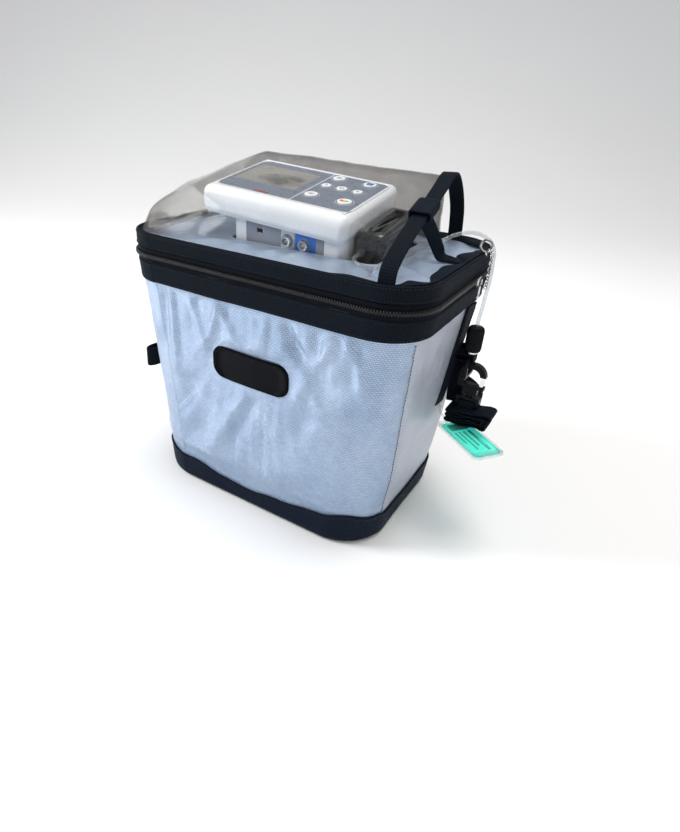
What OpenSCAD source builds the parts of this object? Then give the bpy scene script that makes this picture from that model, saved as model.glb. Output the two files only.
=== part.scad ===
// Portable oxygen concentrator carried in the lid of an insulated soft bag.
// Frame: +Z up, +X to the right of the front face, +Y to the rear, origin on the floor at the bag's centre.

/* [Bag] */
// Width of the bag at the zip line, outside
bag_w = 297; // [285:1:310]
// Depth of the bag at the zip line, outside
bag_d = 198; // [190:1:206]
// Width of the bag at the floor
base_w = 252; // [245:1:260]
// Depth of the bag at the floor
base_d = 184; // [178:1:190]
// Height of the zip line above the floor
zip_z = 237; // [237:1:237]
// Corner radius at the zip line
rim_r = 40; // [34:1:44]
// Corner radius at the floor
base_r = 46; // [40:1:48]
// Height of the black bottom band
boot_h = 27; // [20:1:34]
// Thickness of the outer fabric with its backing
skin_t = 2; // [1.5:0.5:2.5]
// Thickness of the foam insulation
foam_t = 7; // [5:1:8]
// Thickness of the liner
liner_t = 1.5; // [1:0.5:2]
/* [Lid] */
// Height of the lid's upper band
lid_band_h = 14; // [12:1:14]
// Height of the band below the zip
low_band_h = 18; // [14:1:20]
// Webbing width of the handles
webbing_w = 13; // [10:1:14]
// Webbing thickness
webbing_t = 1.8; // [1.4:0.1:2]
// Wall of the clear cover
cover_t = 1.2; // [1:0.1:1.4]
/* [Concentrator] */
// Width of the control panel overlay
panel_w = 138; // [138:1:138]
// Depth of the control panel overlay
panel_d = 85; // [85:1:85]
// Wall thickness of the housings
wall = 2.4; // [2:0.1:2.6]
// Travel of the keys
key_travel = 0.8; // [0.6:0.1:0.8]
/* [Tube] */
// Outside diameter of the oxygen tube
tube_d = 3.5; // [3:0.1:3.6]
/* [Hidden] */
$fn = 48;

// ---------- profiles ----------
module rr2(w, d, r) {
  square([w - 2 * r, d], center = true);
  square([w, d - 2 * r], center = true);
  for (sx = [-1, 1], sy = [-1, 1]) translate([sx * (w / 2 - r), sy * (d / 2 - r)]) circle(r);
}
function bw(z) = base_w + (bag_w - base_w) * z / zip_z;
function bd(z) = base_d + (bag_d - base_d) * z / zip_z;
function br(z) = base_r + (rim_r - base_r) * z / zip_z;
// Thin slice of the bag's outline at height z, grown by o
module slice(z, o) translate([0, 0, z]) linear_extrude(0.01) rr2(bw(z) + 2 * o, bd(z) + 2 * o, br(z) + o, $fn = 32);
module taper(z0, z1, o) hull() { slice(z0, o, $fn = 32); slice(z1 - 0.01, o, $fn = 32); }
module ring(w, d, r, t, h) linear_extrude(h) difference() { rr2(w, d, r); rr2(w - 2 * t, d - 2 * t, r - t); }
module rbox(w, d, h, r) linear_extrude(h) rr2(w, d, r);
module slab(x0, x1, y0, y1, z0, z1) translate([x0, y0, z0]) cube([x1 - x0, y1 - y0, z1 - z0]);

// ---------- sweeps ----------
function unit(v) = v / norm(v);
function tan_at(p, i) = unit(p[min(i + 1, len(p) - 1)] - p[max(i - 1, 0)]);
function cr(p, i, t) = let(a = p[max(i - 1, 0)], b = p[i], c = p[i + 1], d = p[min(i + 2, len(p) - 1)])
  0.5 * ((2 * b) + (c - a) * t + (2 * a - 5 * b + 4 * c - d) * t * t + (3 * b - a - 3 * c + d) * t * t * t);
function smooth(p, n) = concat([for (i = [0:len(p) - 2], k = [0:n - 1]) cr(p, i, k / n)], [p[len(p) - 1]]);
module sweep(path, prof, ref) {
  n = len(prof); m = len(path);
  pts = [for (i = [0:m - 1]) let(t = tan_at(path, i), u = unit(ref - (ref * t) * t), v = cross(t, u))
    for (q = prof) path[i] + u * q[0] + v * q[1]];
  faces = concat([[for (k = [0:n - 1]) k]], [[for (k = [n - 1:-1:0]) (m - 1) * n + k]],
    [for (i = [0:m - 2], k = [0:n - 1]) [i * n + k, (i + 1) * n + k, (i + 1) * n + (k + 1) % n]],
    [for (i = [0:m - 2], k = [0:n - 1]) [i * n + k, (i + 1) * n + (k + 1) % n, i * n + (k + 1) % n]]);
  polyhedron(pts, faces, convexity = 10);
}
function round_prof(r, n) = [for (k = [0:n - 1]) [r * cos(360 * k / n), r * sin(360 * k / n)]];
function flat_prof(w, t) = [[-w / 2, -t / 2], [w / 2, -t / 2], [w / 2, t / 2], [-w / 2, t / 2]];

// ---------- bag ----------
module outer_shell() color("lightsteelblue") difference() {
  taper(2.1, zip_z - 6, 0);
  taper(4.1, zip_z + 3, -skin_t);
}
module foam_insulation() color("whitesmoke") difference() {
  taper(4.2, zip_z - 6, -skin_t - 0.1);
  taper(4.2 + foam_t, zip_z + 3, -skin_t - foam_t);
}
module inner_liner() color("lightgray") difference() {
  taper(4.3 + foam_t, zip_z - 6, -skin_t - foam_t - 0.1);
  taper(4.3 + foam_t + liner_t, zip_z + 3, -skin_t - foam_t - liner_t);
}
module base_boot() color("#1b1f26") difference() {
  taper(0, boot_h, 1.8);
  taper(2, boot_h + 3, 0.1);
}
module lower_rim_band() color("#15181d") difference() {
  taper(zip_z - 6 - low_band_h, zip_z - 6, 1.8);
  taper(zip_z - 9 - low_band_h, zip_z - 3, 0.1);
}
// Zip teeth are drawn as one bead along each tape
module zip_half(z0, zb) {
  translate([0, 0, z0]) ring(bag_w + 2, bag_d + 2, rim_r + 1, 3, 5.6);
  translate([0, 0, zb]) ring(bag_w + 5, bag_d + 5, rim_r + 2.5, 1.6, 2.2);
}
module lower_zip_tape() color("#0d0f13") zip_half(zip_z - 5.9, zip_z - 2.5);
module upper_zip_tape() color("#0d0f13") zip_half(zip_z + 0.3, zip_z + 0.3);
module upper_rim_band() color("#15181d") translate([0, 0, zip_z + 6]) ring(bag_w + 3.6, bag_d + 3.6, rim_r + 1.8, 3.2, lid_band_h);
module blank_badge() color("#101216") translate([1, -bd(153) / 2 - 0.05, 153]) rotate([90 + 1.7, 0, 0]) difference() {
  rbox(84, 32, 2.2, 12);
  translate([0, 0, 1.5]) rbox(80, 28, 2, 10);
}

// ---------- shoulder strap hardware ----------
// Side of the bag at height z, plus a stand-off
function side_x(z, o) = bw(z) / 2 + o;
// Webbing sewn under the lower band that runs down the bag's side, with the loop that holds the ring
web_run = [for (p = [[41, 211.6], [40, 200], [38, 185], [35, 168], [31, 148], [27, 128], [25, 114]]) [side_x(p[1], 1.5), p[0], p[1]]];
module webbing_side() {
  sweep(smooth(web_run, 2), flat_prof(24, 2.4), [0, 1, 0]);
  slab(side_x(166, 0.6), 161.6, 29, 41, 165.4, 167.4);
  slab(side_x(166, 2.5), 161.6, 29, 41, 160, 161.6);
  slab(160.4, 161.6, 29, 41, 160, 167.4);
}
module both_sides() { children(); mirror([1, 0, 0]) children(); }
module side_webbing() color("#15181d") both_sides() webbing_side();
// Rectangular ring that hangs in the webbing loop, flat to the bag's side
module d_ring() translate([157, 35, 155]) rotate([90, 0, 90]) linear_extrude(2.4) difference() { rr2(24, 19.6, 4); rr2(18, 13.6, 2); }
module d_rings() color("#1a1c20") both_sides() d_ring();
// Snap hook that stands out from the bag's side, its swivel and its strap eye
module snap_hook() translate([0, 38, 0]) rotate([90, 0, 0]) linear_extrude(6) difference() {
  union() { translate([163, 146.6]) circle(12.4); slab2(150.6, 175.4, 134.4, 146.6); translate([163, 131]) square([14, 7], center = true); }
  translate([163, 146.6]) circle(7); slab2(156, 170, 138.4, 146.6); slab2(168, 178, 137.8, 147.6);
}
module slab2(x0, x1, y0, y1) translate([x0, y0]) square([x1 - x0, y1 - y0]);
module snap_eye() {
  translate([163, 35, 124]) cylinder(r = 3, h = 8);
  translate([152, 33, 0]) rotate([0, 0, 0]) difference() { slab(0, 22, -2, 6, 116, 125); slab(3, 19, -4, 8, 118.6, 122.4); }
}
module snap_hooks() color("#17191d") both_sides() { snap_hook(); snap_eye(); }
module snap_gate() translate([0, 37.2, 0]) rotate([90, 0, 0]) linear_extrude(4.4) { slab2(170.6, 174.4, 140, 147.2); translate([172.5, 140]) circle(1.9); }
module right_snap_gate() color("silver") snap_gate();
module left_snap_gate() color("silver") mirror([1, 0, 0]) snap_gate();
// Strap: folded bundle at the right, then round the back and along the left side to the left hook
strap_run = smooth([[172, 40, 111], [168, 62, 111], [152, 84, 110], [128, 97.5, 109], [90, 99.5, 108], [20, 100, 107], [-60, 100, 108], [-112, 98.5, 110], [-140, 84, 112], [-147.5, 56, 113], [-147, 10, 113], [-147, -40, 114], [-146, -66, 115], [-151, -74, 115], [-156, -66, 115], [-157.5, -40, 112], [-160, -4, 107], [-163, 31, 103]], 3);
module bundle_leaf(x1, zc) hull() { translate([149, 0, zc]) rotate([90, 0, 0]) cylinder(r = 2.2, h = 24, center = true, $fn = 24); translate([x1, 0, zc + 2.4]) rotate([90, 0, 0]) cylinder(r = 3, h = 24, center = true, $fn = 24); }
module strap_loop(z0) { slab(155.5, 170.5, 28, 42, 118.9, 121.4); slab(155.5, 170.5, 28, 30.5, z0, 121.4); slab(155.5, 170.5, 39.5, 42, z0 + 2, 121.4); slab(155.5, 170.5, 28, 42, z0, z0 + 4); }
module shoulder_strap() color("#15181d") {
  translate([0, 33, 0]) { bundle_leaf(184, 100); bundle_leaf(180, 105.4); bundle_leaf(187, 110.6); }
  strap_loop(109);
  mirror([1, 0, 0]) strap_loop(100);
  sweep(strap_run, flat_prof(20, 2.4), [0, 0, 1]);
}
// Ribbed grip sleeve at the end of the oxygen tube
module tube_coupling() color("#121418") translate([157, 36, 170]) difference() {
  union() { cylinder(r = 7, h = 24); for (k = [0:5]) translate([0, 0, 3.4 + k * 3.4]) cylinder(r = 7.7, h = 1.8); }
  translate([0, 0, 12]) cylinder(r = 2, h = 20);
  translate([0, 0, -1]) cylinder(r = 3.05, h = 9);
}
module coupling_nozzle() color("silver") translate([157, 36, 168.2]) { cylinder(r = 3, h = 9); cylinder(r = 5, h = 1.4); }

// ---------- tag ----------
module tagpose() translate([176.3, 14, 93.2]) rotate([0, 1.5, -36.5]) children();
module tag_card() color("#2fe0b8") tagpose() rbox(56, 27, 0.8, 4);
module tag_sleeve() color([0.8, 1, 0.95, 0.5]) tagpose() translate([0, 0, -0.8]) difference() { rbox(64, 33.5, 2.4, 6); translate([0, 0, 0.75]) rbox(56.4, 27.4, 0.9, 4.2); translate([-30, 3, -1]) cylinder(r = 1.4, h = 5); }
module tag_loop() color([0.9, 0.95, 0.95, 0.6]) sweep(smooth([[154, 34.3, 96.5], [154, 34.3, 93.5], [154, 34, 91], [152.5, 34, 89.5], [150.5, 33.5, 89], [148, 32, 91], [147, 31, 94.5], [145.5, 29.5, 98], [143, 26.5, 102], [141.5, 23.5, 107], [141.5, 22.5, 113]], 3), round_prof(1.1, 8), [1, 0, 0.2]);

// ---------- oxygen tube ----------
tube_in_pts = [[65, -31, 256], [66, -40, 255.5], [71, -49.5, 255], [80, -55.5, 254.5], [90, -52.5, 254], [98, -38, 254.5], [103, -14, 256], [107, 16, 259], [113, 40, 264], [124, 53, 269], [138, 55, 270], [148.5, 53, 266], [154, 52, 258], [155, 52.5, 248], [155.5, 53, 238]];
tube_out_pts = [[155.5, 53, 237.5], [155.5, 52, 228], [155.5, 49.5, 218], [156, 44.5, 208], [156.5, 38.5, 200], [157, 36, 193], [157, 36, 186]];
module tube_inner() color([0.9, 0.93, 0.95, 0.6]) sweep(smooth(tube_in_pts, 3), round_prof(tube_d / 2, 8), [0.3, 0, 1]);
module tube_outer() color([0.9, 0.93, 0.95, 0.6]) sweep(smooth(tube_out_pts, 3), round_prof(tube_d / 2, 8), [1, 0, 0]);

// ---------- zip slider and chain ----------
// The slider straddles the zip bead on the right-hand side, where the zip runs straight
module slider_at(y) translate([bag_w / 2 + 2.8, y, zip_z]) children();
module zip_slider() color("silver") slider_at(26) { slab(0, 1.8, -5, 5, -3.6, 3.6); difference() { for (y = [-2, 0.8]) slab(1.7, 4.2, y, y + 1.2, -2.4, 2.4); translate([3, 0, -0.6]) rotate([90, 0, 0]) cylinder(r = 0.65, h = 8, center = true); } slab(1.7, 4.2, -2, 2, 1.7, 2.4); }
module zip_pull() color("silver") slider_at(26) {
  translate([3, 0, -0.6]) rotate([90, 0, 0]) cylinder(r = 0.6, h = 4, center = true);
  slab(2.5, 3.5, -0.6, 0.6, -4.4, -0.6);
  translate([3, 0, -9.4]) rotate([90, 0, 90]) translate([0, 0, -0.6]) linear_extrude(1.2) difference() { rr2(5, 11, 2); translate([0, -2.4]) circle(1.2); }
}
module link(z, turn) translate([155.4, 44, z]) rotate([0, 0, turn]) rotate([90, 0, 0]) rotate_extrude($fn = 20) translate([1.75, 0]) circle(0.5, $fn = 12);
module clasp_ring() color("silver") { translate([149.2, 44, 263.4]) rotate([90, 0, 0]) rotate_extrude($fn = 28) translate([5.2, 0]) circle(1, $fn = 12); translate([149.2, 44, 256.3]) cylinder(r = 1.5, h = 3.2, center = true); }
module pull_chain() color("silver") { translate([153.5, 44, 259.1]) rotate([0, 45, 0]) rotate_extrude($fn = 24) translate([2.6, 0]) circle(0.6, $fn = 12); for (k = [0:10]) link(255.2 - k * 2.75, 45 + 90 * (k % 2)); }

// ---------- lid ----------
module lid_panel() color("lightsteelblue") difference() {
  translate([0, 0, 246]) rbox(bag_w - 3.2, bag_d - 3.2, 5.6, rim_r - 1.6);
  dev() { slab(-49.5, 74.5, -53.5, 49.5, -110, 30); slab(60, 102.5, -43.5, 37.5, -110, 30); }
}
// Pocket under the lid that holds the unit and its side canister
module lid_pouch() color("lightsteelblue") difference() {
  dev() { slab(-49.4, 74.4, -53.4, 49.4, -94.1, -20); slab(60, 102.4, -43.4, 37.4, -52.4, -20); }
  dev() { slab(-47.4, 72.4, -51.4, 47.4, -92.1, 0); slab(60, 100.6, -41.6, 35.6, -50.6, 0); }
  slab(-200, 200, -200, 200, 251.75, 400);
}
handle_pts = [[119, -93.5, 246], [119, -93.5, 258], [118.5, -88.5, 269], [117, -66, 282], [113.5, -33, 293], [110.5, -5, 300], [108.5, 20, 309], [107, 38, 316.5], [106, 50, 317.5], [105.5, 63, 310], [105, 76, 298], [104.5, 88, 282], [104.5, 93.5, 264], [104.5, 94.5, 246]];
module carry_handle() color("#15181d") intersection() { sweep(smooth(handle_pts, 3), flat_prof(webbing_w, webbing_t), [0.966, 0.26, 0]); slab(80, 140, -110, 110, 252, 330); }
side_pts = [[146, 14, 253], [138, 14, 253.5], [128, 14, 254], [121.5, 11, 257], [118, 3, 268], [115.5, -7, 280], [113.5, -15, 288], [112.5, -18.5, 293.1]];
module side_strap() color("#15181d") {
  sweep(smooth(side_pts, 2), flat_prof(webbing_w, webbing_t), [0.35, 1, 0]);
  translate([112, -19, 296.7]) rotate([14.3, 2.1, 6.4]) difference() { slab(-9.2, 9.2, -13, 13, -3.8, 4.6); slab(-7.9, 7.9, -14, 14, -2.6, 3.4); }
}
module cover_pt(p, o) translate(p + [0, 0, o]) cube([2, 2, 0.5], center = true);
module cover_hull(o) hull() {
  translate([-21, 0, 252 + o * 2]) linear_extrude(0.5) rr2(234 + 2 * o, 184 + 2 * o, 16, $fn = 32);
  for (p = [[-126, -82, 274], [-92, -64, 301.5], [74, -67, 291], [91, -70, 284], [-108, 76, 318], [92, 80, 313], [-118, 84, 308]]) cover_pt(p + [o * sign(p[0]), o * sign(p[1]), 0], o);
}
module clear_cover() color([0.85, 0.87, 0.85, 0.35]) difference() {
  cover_hull(0);
  difference() { cover_hull(-cover_t); }
  translate([-21, 0, 249.5]) rbox(234 - 2 * cover_t, 184 - 2 * cover_t, 3.4, 14);
  slab(90, 100, -62, -24, 250, 258.4);
}

// ---------- concentrator, drawn in its own tilted frame ----------
module dev() translate([-15.2, 6.3, 299.2]) rotate([8.5, 4.1, 1.9]) children();
module soft_top(x0, x1, y0, y1, z0, z1, r, f) hull() {
  for (x = [x0 + r, x1 - r]) { translate([x, y0 + f, z1 - r]) sphere(r, $fn = 32); translate([x, y1 - r, z1 - r]) sphere(r, $fn = 32); for (y = [y0 + r, y1 - r]) translate([x, y, z0]) cylinder(r = r, h = 1, $fn = 32); }
  translate([x0 + r, y0 + f, z1 - f]) rotate([0, 90, 0]) cylinder(r = f, h = x1 - x0 - 2 * r, $fn = 32);
}
module top_housing() color("white") dev() difference() {
  soft_top(-76, 73.5, -57, 51, -20, 0.6, 7, 10);
  soft_top(-76 + wall, 73.5 - wall, -57 + wall, 51 - wall, -21, -3.4, 5, 8);
  translate([0, 0, -1.25]) rbox(panel_w + 0.3, panel_d + 0.3, 5, 8.1);
  slab(-64, 0, -17, 31, -8, 1);
  for (k = keys) translate([k[0], k[1], -9]) cylinder(r = k[2] / 2 + 0.3, h = 10);
  translate([-21, -39.6, -9]) linear_extrude(10) rr2(14.6, 4.9, 2);
}
module lower_housing() color("white") dev() difference() {
  union() { translate([12.5, -2, -92]) rbox(117, 96, 71.8, 8); translate([-1.25, -3, -22.4]) rbox(145, 104, 2.2, 7); }
  translate([12.5, -2, -89.6]) rbox(117 - 2 * wall, 96 - 2 * wall, 80, 4);
  slab(-30.2, 51.2, -53, -40, -45.2, -22.8);
  for (z = [-86:5:-64]) slab(-10, 30, 40, 52, z, z + 2.4);
  translate([48.5, 40, -40]) rotate([-90, 0, 0]) cylinder(r = 15.5, h = 12);
}
keys = [[19, 33.7, 12], [18.6, 9, 9], [34.5, 9, 10], [50.5, 9, 9], [19, -19.5, 12], [51, 33.5, 12], [52.4, -20, 13]];
module key(i) dev() translate([keys[i][0], keys[i][1], 0]) {
  translate([0, 0, -3.55]) cylinder(r = keys[i][2] / 2, h = 4.55);
  translate([0, 0, -4.7]) cylinder(r = keys[i][2] / 2 + 1.2, h = 1.15);
  translate([0, 0, -8.6]) cylinder(r = 1.8, h = 4);
}
module key_menu() color("white") key(0);
module key_left() color("white") key(1);
module key_select() color("white") key(2);
module key_right() color("white") key(3);
module key_mute() color("white") key(4);
module key_power() color("dodgerblue") key(5);
module key_start() color("orange") key(6);
module keypad_overlay() color("slategray") dev() difference() {
  translate([0, 0, -1.2]) rbox(panel_w, panel_d, 1.2, 8);
  for (k = keys) translate([k[0], k[1], -3]) cylinder(r = k[2] / 2 + 0.25, h = 5);
  slab(-66.2, 1.2, -18.2, 32.2, -3, 2);
  translate([-21, -39.6, -3]) linear_extrude(5) rr2(14.3, 4.6, 1.8);
}
module display_lens() color([0.35, 0.33, 0.28]) dev() slab(-66, 1, -18, 32, -1.2, -0.1);
module display_module() color("dimgray") dev() { slab(-62, -2, -15, 29, -7.4, -3.2); slab(-58, -6, -12, 26, -10.2, -7.4); }
module alarm_lens() color("crimson") dev() { translate([-21, -39.6, -3.6]) linear_extrude(4) rr2(14, 4.3, 1.7); translate([-21, -39.6, -6]) linear_extrude(2.4) rr2(12, 3.4, 1.4); }
module main_board() color("darkgreen") dev() {
  slab(-42, 67, -44, 40, -13, -11.4);
  for (k = keys) translate([k[0], k[1], -11.4]) cylinder(r = 2.6, h = 1.9);
  slab(-30, -10, -6, 14, -15.2, -13); slab(2, 20, -20, -6, -15.6, -13); slab(30, 60, 14, 30, -17, -13);
  slab(-20, -2, -44, -36, -19, -13);
}
module battery_pack() color("steelblue") dev() { translate([7, -20, -60]) rbox(84, 48, 21, 5); slab(48, 52, -8, 0, -50, -42); }
module compressor_body() color("silver") dev() translate([-41, 26.4, -72]) rotate([0, 90, 0]) difference() {
  union() { cylinder(r = 15.5, h = 78); for (x = [6, 50]) translate([0, 0, x]) cylinder(r = 16.6, h = 18); translate([0, -12, 30]) cube([16.8, 24, 14]); }
  translate([0, 0, 8]) cylinder(r = 9.04, h = 46);
  translate([0, 0, 40]) cylinder(r = 13, h = 32);
}
module compressor_piston() color("gainsboro") dev() translate([-41, 26.4, -72]) rotate([0, 90, 0]) { translate([0, 0, 16]) cylinder(r = 9, h = 24); translate([0, 0, 40]) cylinder(r = 3, h = 9); translate([0, 0, 49]) cylinder(r = 12.4, h = 14); }
module sieve_beds() color("lightgray") dev() for (y = [-34.4, -8.2]) translate([-41, y, -75.4]) rotate([0, 90, 0]) { cylinder(r = 12.5, h = 79); translate([0, 0, 79]) cylinder(r = 8, h = 4.6); translate([0, 0, -1.4]) cylinder(r = 10, h = 1.4); }
module valve_manifold() color("#444b55") dev() { slab(43.1, 68, -44, 2, -88.6, -63); for (y = [-34, -16]) translate([58, y, -63]) cylinder(r = 6, h = 13); }
module product_tank() color("gainsboro") dev() translate([55.4, 23, -89]) rbox(25.6, 38, 28, 6);
module fan_frame() color("#202226") dev() translate([48.5, 36.2, -40]) rotate([-90, 0, 0]) difference() { linear_extrude(7) rr2(34.4, 34.4, 3); translate([0, 0, 1.4]) cylinder(r = 15.4, h = 6); for (a = [0:45:315]) rotate(a) translate([9.5, 0, -1]) cylinder(r = 2.6, h = 4); translate([0, 0, -1]) cylinder(r = 1.04, h = 5); }
module fan_rotor() color("#2b2e33") dev() translate([48.5, 37.8, -40]) rotate([-90, 0, 0]) { cylinder(r = 6, h = 4.8); translate([0, 0, -1.5]) cylinder(r = 1, h = 2); for (a = [0:60:300]) rotate(a) translate([5, -0.5, 0.5]) rotate([28, 0, 0]) cube([9, 1, 3.6]); }
module intake_filter() color("#3a3d40") dev() slab(-43.4, -37.6, -42, 2, -58, -26);
module connector_plate() color("lightslategray") dev() difference() {
  slab(-30, 51, -50.2, -47.6, -45, -23);
  slab(-19, -10.6, -52, -44, -33.4, -27.6);
  for (x = [14.5, 32]) translate([x, -44, -33]) rotate([90, 0, 0]) cylinder(r = 4.6, h = 8);
}
module usb_port() color("gray") dev() difference() { slab(-18.8, -10.8, -50.3, -40, -33.2, -27.8); slab(-18.1, -11.5, -51, -42, -32.5, -28.5); slab(-17, -12.6, -49.4, -41, -30.9, -30.1); }
module round_sockets() color("silver") dev() for (x = [14.5, 32]) translate([x, -40, -33]) rotate([90, 0, 0]) difference() {
  union() { cylinder(r = 4.5, h = 14.4); translate([0, 0, 10.3]) cylinder(r = 5.3, h = 3.2, $fn = 6); translate([0, 0, 1]) cylinder(r = 5.8, h = 5); }
  translate([0, 0, 9]) cylinder(r = 3, h = 10);
}
module humidifier_canister() color([0.25, 0.26, 0.26]) dev() difference() {
  union() { translate([87.2, -3, -50]) rbox(26, 74, 36, 4); slab(71.2, 76, -20, 14, -46, -26); }
  translate([87.2, -3, -47.8]) rbox(22, 70, 31.6, 2.6);
  translate([82, -40, -31]) rotate([90, 0, 0]) cylinder(r = 2.6, h = 5, center = true);
}
module outlet_barb() color([0.9, 0.93, 0.95]) dev() translate([82, -37.4, -31]) rotate([90, 0, 0]) difference() {
  union() { cylinder(r = 2.55, h = 3); translate([0, 0, 2.7]) cylinder(r = 3.6, h = 1.5); translate([0, 0, 4.1]) cylinder(r = 1.2, h = 3.2); }
  translate([0, 0, -1]) cylinder(r = 0.7, h = 12);
}

outer_shell();
foam_insulation();
inner_liner();
base_boot();
lower_rim_band();
lower_zip_tape();
blank_badge();
side_webbing();
d_rings();
snap_hooks();
right_snap_gate();
left_snap_gate();
shoulder_strap();
tag_card();
tag_sleeve();
tag_loop();
tube_outer();
tube_coupling();
coupling_nozzle();
zip_slider();
zip_pull();
upper_rim_band();
upper_zip_tape();
lid_panel();
lid_pouch();
carry_handle();
side_strap();
tube_inner();
clasp_ring();
pull_chain();
clear_cover();
top_housing();
lower_housing();
keypad_overlay();
display_lens();
display_module();
alarm_lens();
key_menu();
key_left();
key_select();
key_right();
key_mute();
key_power();
key_start();
main_board();
battery_pack();
compressor_body();
compressor_piston();
sieve_beds();
valve_manifold();
product_tank();
fan_frame();
fan_rotor();
intake_filter();
connector_plate();
usb_port();
round_sockets();
humidifier_canister();
outlet_barb();
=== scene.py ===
import math
import bpy
import numpy as np
from mathutils import Vector, Matrix, noise


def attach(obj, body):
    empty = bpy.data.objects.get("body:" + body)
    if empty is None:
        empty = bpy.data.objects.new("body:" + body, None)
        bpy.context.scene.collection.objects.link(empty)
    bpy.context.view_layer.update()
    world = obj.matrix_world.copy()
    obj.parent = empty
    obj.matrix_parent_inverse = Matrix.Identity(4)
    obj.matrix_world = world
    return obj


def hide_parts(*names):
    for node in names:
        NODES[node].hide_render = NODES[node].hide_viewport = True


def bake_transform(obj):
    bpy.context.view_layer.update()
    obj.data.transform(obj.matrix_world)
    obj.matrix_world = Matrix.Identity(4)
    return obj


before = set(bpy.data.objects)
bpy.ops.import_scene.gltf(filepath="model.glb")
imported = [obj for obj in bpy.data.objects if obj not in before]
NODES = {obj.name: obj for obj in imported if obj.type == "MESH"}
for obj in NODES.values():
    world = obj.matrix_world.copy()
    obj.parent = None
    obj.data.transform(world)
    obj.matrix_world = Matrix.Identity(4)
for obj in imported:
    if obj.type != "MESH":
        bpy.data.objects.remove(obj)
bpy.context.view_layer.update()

SC = bpy.context.scene
S = 0.001
rng = np.random.RandomState(7)

# ------------------------------------------------------------------ camera
def make_camera():
    yaw, pitch, roll = -0.573, -0.491, 0.041
    pos = Vector((0.274692, -0.46624, 0.379516))
    fw = Vector((math.sin(yaw) * math.cos(pitch), math.cos(yaw) * math.cos(pitch), math.sin(pitch)))
    right = fw.cross(Vector((0, 0, 1))).normalized()
    up = right.cross(fw)
    r2 = right * math.cos(roll) + up * math.sin(roll)
    u2 = -right * math.sin(roll) + up * math.cos(roll)
    m = Matrix((r2, u2, -fw)).transposed().to_4x4()
    m.translation = pos
    cam = bpy.data.cameras.new("camera")
    o = bpy.data.objects.new("camera", cam)
    SC.collection.objects.link(o)
    o.matrix_world = m
    cam.sensor_fit = "AUTO"
    cam.sensor_width = 36
    cam.lens = 24.80
    cam.shift_x = 0.07
    cam.shift_y = -0.03
    cam.clip_start = 0.01
    SC.camera = o
make_camera()

# ------------------------------------------------------------------ node helpers
def new_mat(name):
    m = bpy.data.materials.new(name)
    m.use_nodes = True
    nt = m.node_tree
    return m, nt, nt.nodes["Principled BSDF"]

def nd(nt, kind, **kw):
    n = nt.nodes.new(kind)
    for k, v in kw.items():
        if k in n.inputs.keys():
            n.inputs[k].default_value = v
        else:
            setattr(n, k, v)
    return n

def ramp(nt, fac, stops):
    r = nt.nodes.new("ShaderNodeValToRGB")
    e = r.color_ramp.elements
    e[0].position, e[0].color = stops[0][0], (*stops[0][1], 1)
    e[1].position, e[1].color = stops[-1][0], (*stops[-1][1], 1)
    for p, c in stops[1:-1]:
        x = e.new(p)
        x.color = (*c, 1)
    nt.links.new(fac, r.inputs["Fac"])
    return r.outputs["Color"]

def math_n(nt, op, a, b=None, c=None):
    n = nt.nodes.new("ShaderNodeMath")
    n.operation = op
    for i, v in enumerate((a, b, c)):
        if v is None:
            continue
        if isinstance(v, (int, float)):
            n.inputs[i].default_value = v
        else:
            nt.links.new(v, n.inputs[i])
    return n.outputs[0]

def mixc(nt, fac, a, b, mode="MIX"):
    n = nt.nodes.new("ShaderNodeMix")
    n.data_type = "RGBA"
    n.blend_type = mode
    for sock, v in ((n.inputs[0], fac), (n.inputs[6], a), (n.inputs[7], b)):
        if isinstance(v, (int, float)):
            sock.default_value = v
        elif isinstance(v, tuple):
            sock.default_value = (*v, 1) if len(v) == 3 else v
        else:
            nt.links.new(v, sock)
    return n.outputs[2]

def coords(nt, kind="Object"):
    return nt.nodes.new("ShaderNodeTexCoord").outputs[kind]

def scaled(nt, vec, s, rot=(0, 0, 0)):
    m = nt.nodes.new("ShaderNodeMapping")
    m.inputs["Scale"].default_value = s if isinstance(s, tuple) else (s, s, s)
    m.inputs["Rotation"].default_value = rot
    nt.links.new(vec, m.inputs["Vector"])
    return m.outputs[0]

def noise_n(nt, vec, scale, detail=3, rough=0.5, dist=0.0):
    n = nt.nodes.new("ShaderNodeTexNoise")
    n.inputs["Scale"].default_value = scale
    n.inputs["Detail"].default_value = detail
    n.inputs["Roughness"].default_value = rough
    n.inputs["Distortion"].default_value = dist
    nt.links.new(vec, n.inputs["Vector"])
    return n.outputs["Fac"]

def bump_n(nt, height, strength, dist, normal=None):
    b = nt.nodes.new("ShaderNodeBump")
    b.inputs["Strength"].default_value = strength
    b.inputs["Distance"].default_value = dist
    nt.links.new(height, b.inputs["Height"])
    if normal is not None:
        nt.links.new(normal, b.inputs["Normal"])
    return b.outputs["Normal"]

def sep(nt, vec):
    n = nt.nodes.new("ShaderNodeSeparateXYZ")
    nt.links.new(vec, n.inputs[0])
    return n.outputs

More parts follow.
